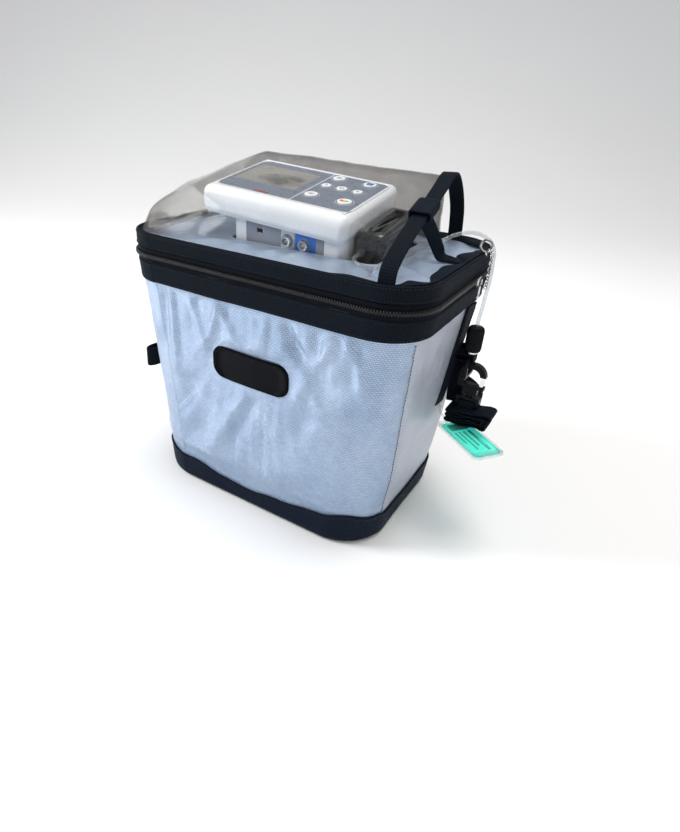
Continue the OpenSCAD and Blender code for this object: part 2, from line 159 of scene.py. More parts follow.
# ------------------------------------------------------------------ materials
def fabric_silver(name, c0, c1, weave=1.0, sheen=0.25, metallic=0.36):
    """Coated nylon: staggered small cells, satin sheen, soft mottling. The cells are lightened in colour as a painted
    glint of the weave.
    """
    m, nt, b = new_mat(name)
    uv = coords(nt, "UV")
    ob = coords(nt)
    br = nt.nodes.new("ShaderNodeTexBrick")
    br.offset = 0.5
    br.inputs["Scale"].default_value = 1.0
    br.inputs["Color1"].default_value = (1, 1, 1, 1)
    br.inputs["Color2"].default_value = (0.72, 0.72, 0.72, 1)
    br.inputs["Mortar"].default_value = (0, 0, 0, 1)
    br.inputs["Mortar Size"].default_value = 0.00042
    br.inputs["Mortar Smooth"].default_value = 1.0
    br.inputs["Brick Width"].default_value = 0.0030
    br.inputs["Row Height"].default_value = 0.0017
    nt.links.new(uv, br.inputs["Vector"])
    fine = nt.nodes.new("ShaderNodeTexWave")
    fine.wave_type = "BANDS"
    fine.bands_direction = "X"
    fine.inputs["Scale"].default_value = 380
    fine.inputs["Distortion"].default_value = 0.6
    nt.links.new(uv, fine.inputs["Vector"])
    mott = noise_n(nt, ob, 26, 4, 0.55)
    mott2 = noise_n(nt, ob, 160, 3, 0.6)
    base = ramp(nt, mott, [(0.3, c0), (0.7, c1)])
    # painted highlight: every brick cell lightens the base colour, standing in for the weave's glints
    cell_glint = mixc(nt, 0.42 * weave, base, br.outputs["Color"], "SOFT_LIGHT")
    col = mixc(nt, 0.07, cell_glint, ramp(nt, mott2, [(0.35, (0.2, 0.22, 0.25)), (0.65, (1, 1, 1))]), "OVERLAY")
    nt.links.new(col, b.inputs["Base Color"])
    r = ramp(nt, mott2, [(0.2, (0.27, 0.27, 0.27)), (0.8, (0.42, 0.42, 0.42))])
    nt.links.new(r, b.inputs["Roughness"])
    b.inputs["Metallic"].default_value = metallic
    b.inputs["Sheen Weight"].default_value = sheen * 0.5
    b.inputs["Sheen Roughness"].default_value = 0.4
    b.inputs["Specular IOR Level"].default_value = 0.8
    n1 = bump_n(nt, br.outputs["Color"], 0.6 * weave, 0.0005)
    n2 = bump_n(nt, fine.outputs["Fac"], 0.10 * weave, 0.0002, n1)
    n3 = bump_n(nt, noise_n(nt, ob, 55, 4, 0.6), 0.25, 0.0012, n2)
    nt.links.new(n3, b.inputs["Normal"])
    return m

def webbing_mat(name, base, tint, pitch=0.0021, row=0.0012, strength=0.8, sheen=0.022, rough=0.66, sheen_patches=False):
    """Woven nylon: ribs across the tape and staggered picks along it. The lighter navy tint on the rib tops is painted
    highlight, and its large noise patches are painted sheen on the black tape.
    """
    m, nt, b = new_mat(name)
    uv = coords(nt, "UV")
    ob = coords(nt)
    br = nt.nodes.new("ShaderNodeTexBrick")
    br.offset = 0.5
    br.inputs["Scale"].default_value = 1.0
    br.inputs["Color1"].default_value = (1, 1, 1, 1)
    br.inputs["Color2"].default_value = (0.6, 0.6, 0.6, 1)
    br.inputs["Mortar"].default_value = (0, 0, 0, 1)
    br.inputs["Mortar Size"].default_value = min(pitch, row) * 0.28
    br.inputs["Mortar Smooth"].default_value = 1.0
    br.inputs["Brick Width"].default_value = row * 2.4
    br.inputs["Row Height"].default_value = pitch
    rot = nt.nodes.new("ShaderNodeMapping")
    rot.inputs["Rotation"].default_value = (0, 0, math.pi / 2)
    nt.links.new(uv, rot.inputs["Vector"])
    nt.links.new(rot.outputs[0], br.inputs["Vector"])
    fuzz = noise_n(nt, ob, 900, 2, 0.7)
    sheen_noise = noise_n(nt, ob, 30, 3, 0.6)
    # painted highlight: rib tops take the lighter navy tint, the gaps keep the dark base
    c = mixc(nt, br.outputs["Fac"], tint, base)
    # painted sheen: large noise patches blend the colour toward the lighter navy tint
    c = mixc(nt, sheen_noise, c, tint) if sheen_patches else mixc(nt, ramp(nt, sheen_noise, [(0.35, (0.0, 0.0, 0.0)), (0.8, (0.5, 0.5, 0.5))]), c, tint)
    c = mixc(nt, ramp(nt, fuzz, [(0.55, (0, 0, 0)), (0.75, (0.35, 0.35, 0.35))]), c, tuple(min(1, 1.7 * x) for x in tint))
    nt.links.new(c, b.inputs["Base Color"])
    b.inputs["Roughness"].default_value = rough
    b.inputs["Sheen Weight"].default_value = sheen
    b.inputs["Sheen Roughness"].default_value = 0.45
    b.inputs["Sheen Tint"].default_value = (0.45, 0.55, 0.9, 1)
    b.inputs["Specular IOR Level"].default_value = 0.045
    n1 = bump_n(nt, br.outputs["Color"], strength, 0.0006)
    n2 = bump_n(nt, fuzz, 0.15, 0.0003, n1)
    nt.links.new(n2, b.inputs["Normal"])
    return m

def plastic(name, col, rough=0.35, coat=0.0, grain=0.15, gscale=700, col2=None, metallic=0.0, spec=0.5):
    m, nt, b = new_mat(name)
    ob = coords(nt)
    big = noise_n(nt, ob, 40, 4, 0.6)
    c2 = col2 or tuple(min(1.0, x * 1.12 + 0.004) for x in col)
    nt.links.new(ramp(nt, big, [(0.3, col), (0.75, c2)]), b.inputs["Base Color"])
    sm = noise_n(nt, ob, 120, 4, 0.7)
    nt.links.new(ramp(nt, sm, [(0.25, (max(0.02, rough - 0.06),) * 3), (0.8, (min(1, rough + 0.1),) * 3)]), b.inputs["Roughness"])
    b.inputs["Metallic"].default_value = metallic
    b.inputs["Specular IOR Level"].default_value = spec
    b.inputs["Coat Weight"].default_value = coat
    b.inputs["Coat Roughness"].default_value = 0.08
    nt.links.new(bump_n(nt, noise_n(nt, ob, gscale, 2, 0.6), grain, 0.0002), b.inputs["Normal"])
    return m

def metal(name, col, rough=0.2, brushed=0.0):
    m, nt, b = new_mat(name)
    ob = coords(nt)
    v = scaled(nt, ob, (300, 300, 60)) if brushed else ob
    n = noise_n(nt, v, 1.0 if brushed else 220, 4, 0.7)
    nt.links.new(ramp(nt, noise_n(nt, ob, 60, 3), [(0.3, col), (0.8, tuple(x * 0.78 for x in col))]), b.inputs["Base Color"])
    nt.links.new(ramp(nt, n, [(0.2, (max(0.03, rough - 0.08),) * 3), (0.85, (rough + 0.15,) * 3)]), b.inputs["Roughness"])
    b.inputs["Metallic"].default_value = 1.0
    nt.links.new(bump_n(nt, n, 0.12 + brushed * 0.3, 0.0001), b.inputs["Normal"])
    return m

def clear(name, tint=(0.96, 0.98, 0.98), haze=0.1, haze_col=(0.75, 0.74, 0.7), rough=0.06, spec=1.0, haze_fn=None, wob=0.0012):
    """Thin clear plastic: see-through with a haze and Fresnel gloss."""
    m, nt, b = new_mat(name)
    nt.nodes.remove(b)
    out = nt.nodes["Material Output"]
    tr = nt.nodes.new("ShaderNodeBsdfTransparent")
    tr.inputs["Color"].default_value = (*tint, 1)
    gl = nt.nodes.new("ShaderNodeBsdfGlossy")
    gl.inputs["Roughness"].default_value = rough
    df = nt.nodes.new("ShaderNodeBsdfDiffuse")
    ob = coords(nt)
    dcol = ramp(nt, noise_n(nt, ob, 14, 3, 0.6, 0.8), [(0.3, tuple(x * 0.8 for x in haze_col)), (0.7, haze_col)])
    nt.links.new(dcol, df.inputs["Color"])
    tl = nt.nodes.new("ShaderNodeBsdfTranslucent")
    nt.links.new(dcol, tl.inputs["Color"])
    dmix = nt.nodes.new("ShaderNodeMixShader")
    dmix.inputs[0].default_value = 0.45
    nt.links.new(df.outputs[0], dmix.inputs[1])
    nt.links.new(tl.outputs[0], dmix.inputs[2])
    mx = nt.nodes.new("ShaderNodeMixShader")
    h = haze_fn(nt, ob) if haze_fn else math_n(nt, "MULTIPLY", noise_n(nt, ob, 30, 4, 0.65), 2 * haze)
    nt.links.new(h, mx.inputs[0])
    nt.links.new(tr.outputs[0], mx.inputs[1])
    nt.links.new(dmix.outputs[0], mx.inputs[2])
    fr = nt.nodes.new("ShaderNodeLayerWeight")
    fr.inputs["Blend"].default_value = 0.5
    fac = math_n(nt, "MULTIPLY_ADD", math_n(nt, "POWER", fr.outputs["Facing"], 3.5), 0.42 * spec, 0.035 * spec)
    top = nt.nodes.new("ShaderNodeMixShader")
    nt.links.new(fac, top.inputs[0])
    nt.links.new(mx.outputs[0], top.inputs[1])
    nt.links.new(gl.outputs[0], top.inputs[2])
    nrm = bump_n(nt, noise_n(nt, ob, 22, 4, 0.6, 0.6), 0.5, wob)
    nt.links.new(nrm, gl.inputs["Normal"])
    nt.links.new(nrm, fr.inputs["Normal"])
    nt.links.new(top.outputs[0], out.inputs["Surface"])
    return m

M = {}
M["silver"] = fabric_silver("silver_fabric", (0.27, 0.37, 0.53), (0.36, 0.46, 0.625), metallic=0.5, weave=1.25)
# painted shade: the side panels get a greyer copy of the fabric for their turn away from the key light; they are also
# panels of their own
M["silver_side"] = fabric_silver("silver_fabric_side_shaded", (0.33, 0.365, 0.45), (0.40, 0.435, 0.52), weave=0.6)
M["silver_lid"] = fabric_silver("silver_fabric_lid", (0.30, 0.39, 0.53), (0.38, 0.475, 0.62), weave=0.5)
M["liner"] = fabric_silver("liner_foil", (0.55, 0.57, 0.60), (0.68, 0.70, 0.73), weave=0.5, sheen=0.1)
# the lighter navy tints of these webbings are painted highlight and sheen on black tape
M["web"] = webbing_mat("webbing_black", (0.0012, 0.0016, 0.0022), (0.007, 0.011, 0.017), strength=1.0)
M["web_navy"] = webbing_mat("webbing_navy", (0.0015, 0.002, 0.004), (0.008, 0.013, 0.022), pitch=0.0016, row=0.001)
# painted sheen: large noise patches of lighter navy across the boot
M["boot"] = webbing_mat("boot_ribbed", (0.0008, 0.0012, 0.0022), (0.0075, 0.013, 0.025), pitch=0.0024, row=0.0016, strength=0.9, sheen=0.03, rough=0.5, sheen_patches=True)
M["tape"] = webbing_mat("zip_tape", (0.0015, 0.002, 0.003), (0.006, 0.008, 0.012), pitch=0.0011, row=0.0009, strength=0.5)
M["tooth"] = plastic("zip_coil", (0.004, 0.005, 0.007), 0.30, spec=0.30, col2=(0.006, 0.007, 0.010))
M["thread_dark"] = plastic("thread_navy", (0.02, 0.03, 0.07), 0.6)
M["thread_black"] = plastic("thread_black", (0.008, 0.010, 0.014), 0.5, spec=0.2)
M["foam"] = plastic("foam_white", (0.75, 0.75, 0.72), 0.9, grain=0.8, gscale=400)
M["black"] = plastic("black_nylon", (0.003, 0.0035, 0.005), 0.36, grain=0.25, gscale=500, spec=0.12, col2=(0.005, 0.006, 0.008))
M["black_rib"] = plastic("black_grip", (0.003, 0.0035, 0.005), 0.45, grain=0.3, gscale=500, spec=0.10, col2=(0.005, 0.006, 0.008))
M["badge"] = plastic("badge_rubber", (0.003, 0.0035, 0.005), 0.42, grain=0.3, gscale=420, spec=0.05, col2=(0.005, 0.006, 0.008))
M["badge_line"] = plastic("badge_border", (0.62, 0.64, 0.66), 0.5)
M["white"] = plastic("white_housing", (0.90, 0.94, 0.985), 0.24, coat=0.3, grain=0.06, col2=(0.93, 0.96, 0.99))
M["overlay"] = plastic("grey_overlay", (0.115, 0.15, 0.21), 0.28, coat=0.3, grain=0.05, col2=(0.135, 0.17, 0.235))
M["plate"] = plastic("plate_grey", (0.27, 0.30, 0.36), 0.35, grain=0.08, col2=(0.31, 0.34, 0.40))
M["line"] = plastic("printed_line", (0.62, 0.66, 0.72), 0.4)
M["mark"] = plastic("printed_mark", (0.5, 0.53, 0.58), 0.4)
M["keyw"] = plastic("key_white", (0.78, 0.80, 0.82), 0.34, grain=0.08)
M["keyblue"] = plastic("key_blue", (0.012, 0.11, 0.42), 0.3, coat=0.3)
M["keygrey"] = plastic("key_symbol", (0.33, 0.36, 0.42), 0.4)
M["keyred"] = plastic("key_red", (0.75, 0.05, 0.03), 0.35)
M["keygreen"] = plastic("key_green", (0.10, 0.55, 0.08), 0.35)
M["keyyel"] = plastic("key_yellow", (0.85, 0.55, 0.03), 0.35)
M["bluepatch"] = plastic("socket_blue", (0.008, 0.17, 0.68), 0.34)
M["alarm"] = plastic("alarm_lens", (0.26, 0.018, 0.035), 0.2, coat=0.4, grain=0.02)
M["chrome"] = metal("chrome", (0.72, 0.72, 0.72), 0.16)
M["steel"] = metal("steel", (0.55, 0.55, 0.56), 0.3, 1.0)
M["brass"] = metal("brass_pin", (0.75, 0.52, 0.22), 0.25)
M["alu"] = metal("aluminium", (0.66, 0.67, 0.68), 0.34, 1.0)
M["board"] = plastic("board_green", (0.01, 0.12, 0.04), 0.4, coat=0.3, gscale=300, grain=0.4)
M["battery"] = plastic("battery_wrap", (0.03, 0.08, 0.2), 0.35, coat=0.2)
M["manifold"] = plastic("manifold_grey", (0.08, 0.09, 0.11), 0.45)
M["module"] = plastic("module_grey", (0.1, 0.105, 0.11), 0.5)
M["filter"] = plastic("filter_foam", (0.05, 0.052, 0.055), 0.95, grain=1.0, gscale=260)
M["tag"] = plastic("tag_green", (0.07, 0.82, 0.66), 0.38, coat=0.2, col2=(0.12, 0.88, 0.74), grain=0.05)
M["tag"].node_tree.nodes["Principled BSDF"].inputs["Emission Color"].default_value = (0.03, 0.62, 0.54, 1)   # painted glow: emission lifts the green card where it sits in shade on the bag's side
M["tag"].node_tree.nodes["Principled BSDF"].inputs["Emission Strength"].default_value = 0.58
M["tagmark"] = plastic("tag_mark", (0.03, 0.50, 0.35), 0.5)

def display_mat():
    m, nt, b = new_mat("display_glass")
    ob = coords(nt)
    s = sep(nt, ob)
    n = noise_n(nt, ob, 38, 3, 0.6, 1.2)
    blot = ramp(nt, n, [(0.40, (0.20, 0.19, 0.165)), (0.50, (0.13, 0.125, 0.11)), (0.56, (0.025, 0.035, 0.026)), (0.66, (0.006, 0.012, 0.008))])
    # the dark picture area sits low in the middle of the window, the rest is a pale bloom
    dx = math_n(nt, "MULTIPLY", math_n(nt, "ADD", s[0], 0.036), 34)
    dy = math_n(nt, "MULTIPLY", math_n(nt, "ADD", s[1], -0.005), 52)
    r2 = math_n(nt, "ADD", math_n(nt, "MULTIPLY", dx, dx), math_n(nt, "MULTIPLY", dy, dy))
    k = ramp(nt, r2, [(0.35, (0, 0, 0)), (1.0, (1, 1, 1))])
    pale = ramp(nt, noise_n(nt, ob, 16, 2), [(0.3, (0.20, 0.19, 0.17)), (0.7, (0.27, 0.26, 0.235))])
    nt.links.new(mixc(nt, k, blot, pale), b.inputs["Base Color"])
    b.inputs["Roughness"].default_value = 0.07
    b.inputs["Coat Weight"].default_value = 1.0
    b.inputs["Coat Roughness"].default_value = 0.02
    nt.links.new(bump_n(nt, noise_n(nt, ob, 60, 2), 0.05, 0.0002), b.inputs["Normal"])
    return m
M["display"] = display_mat()

def smoke_mat():
    m, nt, b = new_mat("smoked_plastic")
    ob = coords(nt)
    c = ramp(nt, noise_n(nt, ob, 40, 3, 0.6, 0.8), [(0.35, (0.006, 0.009, 0.011)), (0.6, (0.016, 0.021, 0.025)), (0.8, (0.04, 0.045, 0.05))])
    nt.links.new(c, b.inputs["Base Color"])
    b.inputs["Roughness"].default_value = 0.12
    b.inputs["Coat Weight"].default_value = 0.35
    b.inputs["Coat Roughness"].default_value = 0.06
    nt.links.new(bump_n(nt, noise_n(nt, ob, 70, 3), 0.12, 0.0006), b.inputs["Normal"])
    return m
M["smoke"] = smoke_mat()

def hood_reflection_haze(nt, ob):
    """Clear over the instrument; the back and end walls, mostly the left, get a darker brown haze, a painted reflection
    in the vinyl.
    """
    s = sep(nt, ob)
    def rise(v, lo, hi):
        r = nt.nodes.new("ShaderNodeMapRange")
        r.interpolation_type = "SMOOTHSTEP"
        r.inputs["From Min"].default_value = lo
        r.inputs["From Max"].default_value = hi
        nt.links.new(v, r.inputs["Value"])
        return r.outputs[0]
    # painted reflection: the brown haze rises toward the back and left walls
    back = math_n(nt, "MULTIPLY", rise(s[1], 0.045, 0.082), 0.36)
    left = math_n(nt, "MULTIPLY", rise(math_n(nt, "MULTIPLY", s[0], -1.0), 0.088, 0.122), 0.36)
    right = math_n(nt, "MULTIPLY", rise(s[0], 0.070, 0.092), 0.02)
    n = noise_n(nt, ob, 16, 4, 0.62, 0.9)
    t = math_n(nt, "ADD", math_n(nt, "ADD", back, left), right)
    v = math_n(nt, "MULTIPLY_ADD", t, math_n(nt, "MULTIPLY_ADD", n, 0.7, 0.65), math_n(nt, "MULTIPLY_ADD", n, 0.10, -0.01))
    c = nt.nodes.new("ShaderNodeClamp")
    c.inputs["Min"].default_value = 0.012
    c.inputs["Max"].default_value = 0.46
    nt.links.new(v, c.inputs["Value"])
    return c.outputs[0]
# the hood's brown haze toward its back and left walls is painted reflection
M["hood"] = clear("hood_vinyl", (0.988, 0.986, 0.982), haze_col=(0.175, 0.160, 0.146), rough=0.07, spec=0.15, haze_fn=hood_reflection_haze, wob=0.0008)
M["clear"] = clear("clear_tube", (0.9, 0.93, 0.95), haze=0.22, haze_col=(0.72, 0.74, 0.76), rough=0.08, spec=1.4)
M["clear_tag"] = clear("clear_sleeve", (0.93, 0.98, 0.96), haze=0.10, haze_col=(0.80, 0.88, 0.85), rough=0.1, spec=1.2)

# ------------------------------------------------------------------ mesh helpers
ALL = []
def mk(name, V, F, mat, body, smooth=True, uv=None, repl=(), slot=None, mm=True):
    me = bpy.data.meshes.new(name)
    V = np.asarray(V, float) * (S if mm else 1)
    me.from_pydata(V.tolist(), [], [list(map(int, f)) for f in F])
    if uv is not None:
        lay = me.uv_layers.new(name="UVMap")
        idx = np.zeros(len(me.loops), int)
        me.loops.foreach_get("vertex_index", idx)
        lay.data.foreach_set("uv", (np.asarray(uv, float) * S)[idx].ravel())
    me.update()
    if smooth:
        me.shade_smooth()
    me.materials.append(M[mat])
    o = bpy.data.objects.new(name, me)
    SC.collection.objects.link(o)
    if body:
        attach(o, body)
    if repl:
        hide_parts(*repl)
    ALL.append(o)
    return o

def grid_faces(nu, nv, cu=False, cv=False, flip=False):
    F = []
    for i in range(nu if cu else nu - 1):
        for j in range(nv if cv else nv - 1):
            a, b = i * nv + j, ((i + 1) % nu) * nv + j
            c, d = ((i + 1) % nu) * nv + (j + 1) % nv, i * nv + (j + 1) % nv
            F.append((a, d, c, b) if flip else (a, b, c, d))
    return F

def cr(points, n):
    P = np.array(points, float)
    out = []
    for i in range(len(P) - 1):
        a, b, c, d = P[max(i - 1, 0)], P[i], P[i + 1], P[min(i + 2, len(P) - 1)]
        for k in range(n):
            t = k / n
            out.append(0.5 * (2 * b + (c - a) * t + (2 * a - 5 * b + 4 * c - d) * t * t + (3 * b - a - 3 * c + d) * t ** 3))
    out.append(P[-1])
    return np.array(out)

def tangents(P):
    T = np.zeros_like(P)
    T[1:-1] = P[2:] - P[:-2]
    T[0], T[-1] = P[1] - P[0], P[-1] - P[-2]
    return T / np.linalg.norm(T, axis=1)[:, None]

def flat_profile(w, t, n=5):
    """Rounded flat tape section, counter-clockwise."""
    r = t / 2
    pts = []
    for cx, a0 in ((w / 2 - r, -90), (-(w / 2 - r), 90)):
        for k in range(n + 1):
            a = math.radians(a0 + 180 * k / n)
            pts.append((cx + r * math.cos(a), r * math.sin(a)))
    m = 8
    top, bot = [], []
    x0, x1 = w / 2 - r, -(w / 2 - r)
    for k in range(1, m):
        top.append((x0 + (x1 - x0) * k / m, r))
        bot.append((x1 + (x0 - x1) * k / m, -r))
    h = n + 1
    return pts[:h] + top + pts[h:] + bot

def round_profile(r, n=12):
    return [(r * math.cos(2 * math.pi * k / n), r * math.sin(2 * math.pi * k / n)) for k in range(n)]

def sweep(name, path, prof, ref, mat, body, repl=(), slot=None, wobble=0.0, wf=0.05, caps=True):
    P = np.asarray(path, float)
    T = tangents(P)
    ref = np.asarray(ref, float)
    if ref.ndim == 1:
        ref = np.tile(ref, (len(P), 1))
    U = ref - (ref * T).sum(1)[:, None] * T
    U /= np.linalg.norm(U, axis=1)[:, None]
    W = np.cross(T, U)
    s = np.concatenate([[0], np.cumsum(np.linalg.norm(np.diff(P, axis=0), axis=1))])
    n = len(prof)
    pv = np.array(prof)
    per = np.concatenate([[0], np.cumsum(np.linalg.norm(np.diff(pv, axis=0), axis=1))])
    V, UV = [], []
    for i in range(len(P)):
        wb = wobble * noise.noise(Vector((s[i] * wf, 3.1, len(name)))) if wobble else 0
        for k in range(n):
            V.append(P[i] + U[i] * pv[k, 0] + W[i] * (pv[k, 1] + wb * (0.6 + 0.4 * math.sin(pv[k, 0] * 0.5))))
            UV.append((s[i], pv[k, 0] if n > 14 else per[k]))
    F = grid_faces(len(P), n, False, True, True)
    if caps:
        F += [tuple(range(n)), tuple((len(P) - 1) * n + k for k in range(n - 1, -1, -1))]
    return mk(name, V, F, mat, body, uv=UV, repl=repl, slot=slot)

def stitch_run(name, P, N, mat, body, pitch=3.2, length=2.1, r=0.28, lift=0.1, shear=0.0):
    """Short thread stitches along polyline P with surface normals N."""
    P = np.asarray(P, float); N = np.asarray(N, float)
    s = np.concatenate([[0], np.cumsum(np.linalg.norm(np.diff(P, axis=0), axis=1))])
    V, F = [], []
    q = pitch / 2
    while q < s[-1] - pitch / 2:
        c = np.array([np.interp(q, s, P[:, k]) for k in range(3)])
        c2 = np.array([np.interp(q + 0.4, s, P[:, k]) for k in range(3)])
        nn = np.array([np.interp(q, s, N[:, k]) for k in range(3)]); nn /= np.linalg.norm(nn)
        t = c2 - c; t /= np.linalg.norm(t)
        b = np.cross(nn, t)
        t = t + b * shear; t /= np.linalg.norm(t)
        c = c + nn * lift
        o = len(V)
        for (d, rr, dz) in ((-0.5, 0.35, -0.5), (-0.3, 1.0, 0.25), (0.3, 1.0, 0.25), (0.5, 0.35, -0.5)):
            for k in range(5):
                a = 2 * math.pi * k / 5
                V.append(c + t * length * d + (nn * math.sin(a) + b * math.cos(a)) * r * rr + nn * dz * r)
        for i in range(3):
            for k in range(5):
                F.append((o + i * 5 + k, o + i * 5 + (k + 1) % 5, o + (i + 1) * 5 + (k + 1) % 5, o + (i + 1) * 5 + k))
        F += [tuple(o + k for k in range(4, -1, -1)), tuple(o + 15 + k for k in range(5))]
        q += pitch
    if V:
        return mk(name, V, F, mat, body)

# ------------------------------------------------------------------ bag outline
def bw(z): return 252 + 45 * z / 237
def bd(z): return 184 + 14 * z / 237
def brr(z): return 46 - 6 * z / 237

SPEC = []
def _spec(nf, ns, nc):
    out = []
    for k in range(nf): out.append(("s", 0, k / nf))
    for k in range(nc): out.append(("c", 0, k / nc))
    for k in range(ns): out.append(("s", 1, k / ns))
    for k in range(nc): out.append(("c", 1, k / nc))
    for k in range(nf): out.append(("s", 2, k / nf))
    for k in range(nc): out.append(("c", 2, k / nc))
    for k in range(ns): out.append(("s", 3, k / ns))
    for k in range(nc): out.append(("c", 3, k / nc))
    return out
SPEC = _spec(92, 48, 28)

def outline(w, d, r, spec=None):
    """Points and outward normals, starting at the front's left end and going round by the front, right, back and left."""
    spec = spec or SPEC
    a, b = w / 2 - r, d / 2 - r
    P, N = [], []
    ends = [((-a, -d / 2), (a, -d / 2), (0, -1)), ((w / 2, -b), (w / 2, b), (1, 0)), ((a, d / 2), (-a, d / 2), (0, 1)), ((-w / 2, b), (-w / 2, -b), (-1, 0))]
    cs = [(a, -b, -90), (a, b, 0), (-a, b, 90), (-a, -b, 180)]
    for kind, i, t in spec:
        if kind == "s":
            p, q, n = ends[i]
            P.append((p[0] + (q[0] - p[0]) * t, p[1] + (q[1] - p[1]) * t)); N.append(n)
        else:
            cx, cy, a0 = cs[i]
            an = math.radians(a0 + 90 * t)
            P.append((cx + r * math.cos(an), cy + r * math.sin(an))); N.append((math.cos(an), math.sin(an)))
    return np.array(P), np.array(N)

def arclen(P):
    d = np.linalg.norm(np.roll(P, -1, axis=0) - P, axis=1)
    return np.concatenate([[0], np.cumsum(d)])[:-1]

NP_ = len(SPEC)
S_REF = arclen(outline(bw(120), bd(120), brr(120))[0])
S_TOP = arclen(outline(297, 198, 40)[0])

def fbm(x, y, z, o=3):
    return noise.fractal(Vector((x, y, z)), 0.9, 2.1, o)

def ring(name, prof, mat, body, taper=True, wave=0.0, wave_f=0.03, bulge=None, repl=(), slot=None, close=True, flip=False, uvscale=1.0, spec=None, extra=None):
    """A closed section swept round the bag. prof: list of (z, offset from the bag's outline)."""
    n = len(prof)
    V, UV = [], []
    per = np.concatenate([[0], np.cumsum(np.linalg.norm(np.diff(np.array(prof), axis=0), axis=1))])
    cols = []
    for z, off in prof:
        if taper:
            P, N = outline(bw(z) + 2 * off, bd(z) + 2 * off, brr(z) + off, spec)
        else:
            P, N = outline(297 + 2 * off, 198 + 2 * off, 40 + off, spec)
        cols.append((P, N, z, off))
    base = arclen(outline(297, 198, 40, spec)[0])
    npt = len(base)
    for i in range(npt):
        wz = wave * noise.noise(Vector((math.cos(2 * math.pi * i / npt) * wave_f * 300, math.sin(2 * math.pi * i / npt) * wave_f * 300, 0.7)))
        for k in range(n):
            P, N, z, off = cols[k]
            p = P[i]
            b = bulge(base[i], z, off) if bulge else 0.0
            dz = wz
            if extra:
                eb, ez = extra(i, base[i], z, off)
                b += eb; dz += ez
            V.append((p[0] + N[i][0] * b, p[1] + N[i][1] * b, z + dz))
            UV.append((base[i] * uvscale, per[k]))
    F = grid_faces(npt, n, True, close, flip)
    return mk(name, V, F, mat, body, uv=UV, repl=repl, slot=slot)

def tape_prof(z0, z1, o0, o1, n=10, r=None):
    """Rounded tape section between heights z0,z1 and offsets o0 (inner), o1 (outer); outer side first, upwards."""
    t = (o1 - o0)
    r = min(r or t / 2, t / 2)
    pts = []
    for k in range(n + 1):
        pts.append((z0 + r + (z1 - z0 - 2 * r) * k / n, o1))
    for k in range(1, 4):
        a = math.pi / 2 * k / 4
        pts.append((z1 - r + r * math.sin(a), o1 - r + r * math.cos(a)))
    pts.append((z1, (o0 + o1) / 2))
    for k in range(1, 4):
        a = math.pi / 2 * k / 4
        pts.append((z1 - r + r * math.cos(a), o0 + r - r * math.sin(a)))
    for k in range(4):
        pts.append((z1 - r - (z1 - z0 - 2 * r) * k / 3, o0))
    for k in range(1, 4):
        a = math.pi / 2 * k / 4
        pts.append((z0 + r - r * math.sin(a), o0 + r - r * math.cos(a)))
    pts.append((z0, (o0 + o1) / 2))
    for k in range(1, 4):
        a = math.pi / 2 * k / 4
        pts.append((z0 + r - r * math.cos(a), o1 - r + r * math.sin(a)))
    return pts

# ------------------------------------------------------------------ combined meshes
class Multi:
    def __init__(self):
        self.V, self.F, self.UV = [], [], []
    def add(self, V, F, UV=None):
        o = len(self.V)
        self.V += [tuple(v) for v in V]
        self.F += [tuple(i + o for i in f) for f in F]
        self.UV += [tuple(u) for u in (UV if UV is not None else [(v[0], v[2]) for v in V])]
    def make(self, name, mat, body, repl=(), slot=None, smooth=True):
        return mk(name, self.V, self.F, mat, body, smooth, self.UV, repl, slot)

def sweep_data(path, prof, ref, wobble=0.0, wf=0.05, seed=1.0, closed=False, caps=True):
    P = np.asarray(path, float)
    T = tangents(P)
    if closed:
        T = np.roll(P, -1, axis=0) - np.roll(P, 1, axis=0)
        T /= np.linalg.norm(T, axis=1)[:, None]
    ref = np.asarray(ref, float)
    if ref.ndim == 1:
        ref = np.tile(ref, (len(P), 1))
    U = ref - (ref * T).sum(1)[:, None] * T
    U /= np.linalg.norm(U, axis=1)[:, None]
    W = np.cross(T, U)
    s = np.concatenate([[0], np.cumsum(np.linalg.norm(np.diff(P, axis=0), axis=1))])
    n = len(prof)
    pv = np.array(prof)
    V, UV = [], []
    for i in range(len(P)):
        for k in range(n):
            wb = wobble * noise.noise(Vector((s[i] * wf, pv[k, 0] * wf * 1.5, seed))) if wobble else 0
            V.append(P[i] + U[i] * pv[k, 0] + W[i] * (pv[k, 1] + wb))
            UV.append((s[i], pv[k, 0]))
    F = grid_faces(len(P), n, closed, True, True)
    if caps and not closed:
        F += [tuple(range(n)), tuple((len(P) - 1) * n + k for k in range(n - 1, -1, -1))]
    return V, F, UV

def lathe_data(prof, c, n=48, flute=0, depth=0.0):
    V, UV = [], []
    for r, z in prof:
        for k in range(n):
            a = 2 * math.pi * k / n
            rr = r * (1 - (depth / max(r, 0.1)) * (0.5 + 0.5 * math.cos(flute * a)) * (1 if r > 5 else 0)) if flute else r
            V.append((c[0] + rr * math.cos(a), c[1] + rr * math.sin(a), c[2] + z))
            UV.append((r * a, z))
    F = grid_faces(len(prof), n, False, True, False)
    F += [tuple(range(n - 1, -1, -1)), tuple((len(prof) - 1) * n + k for k in range(n))]
    return V, F, UV

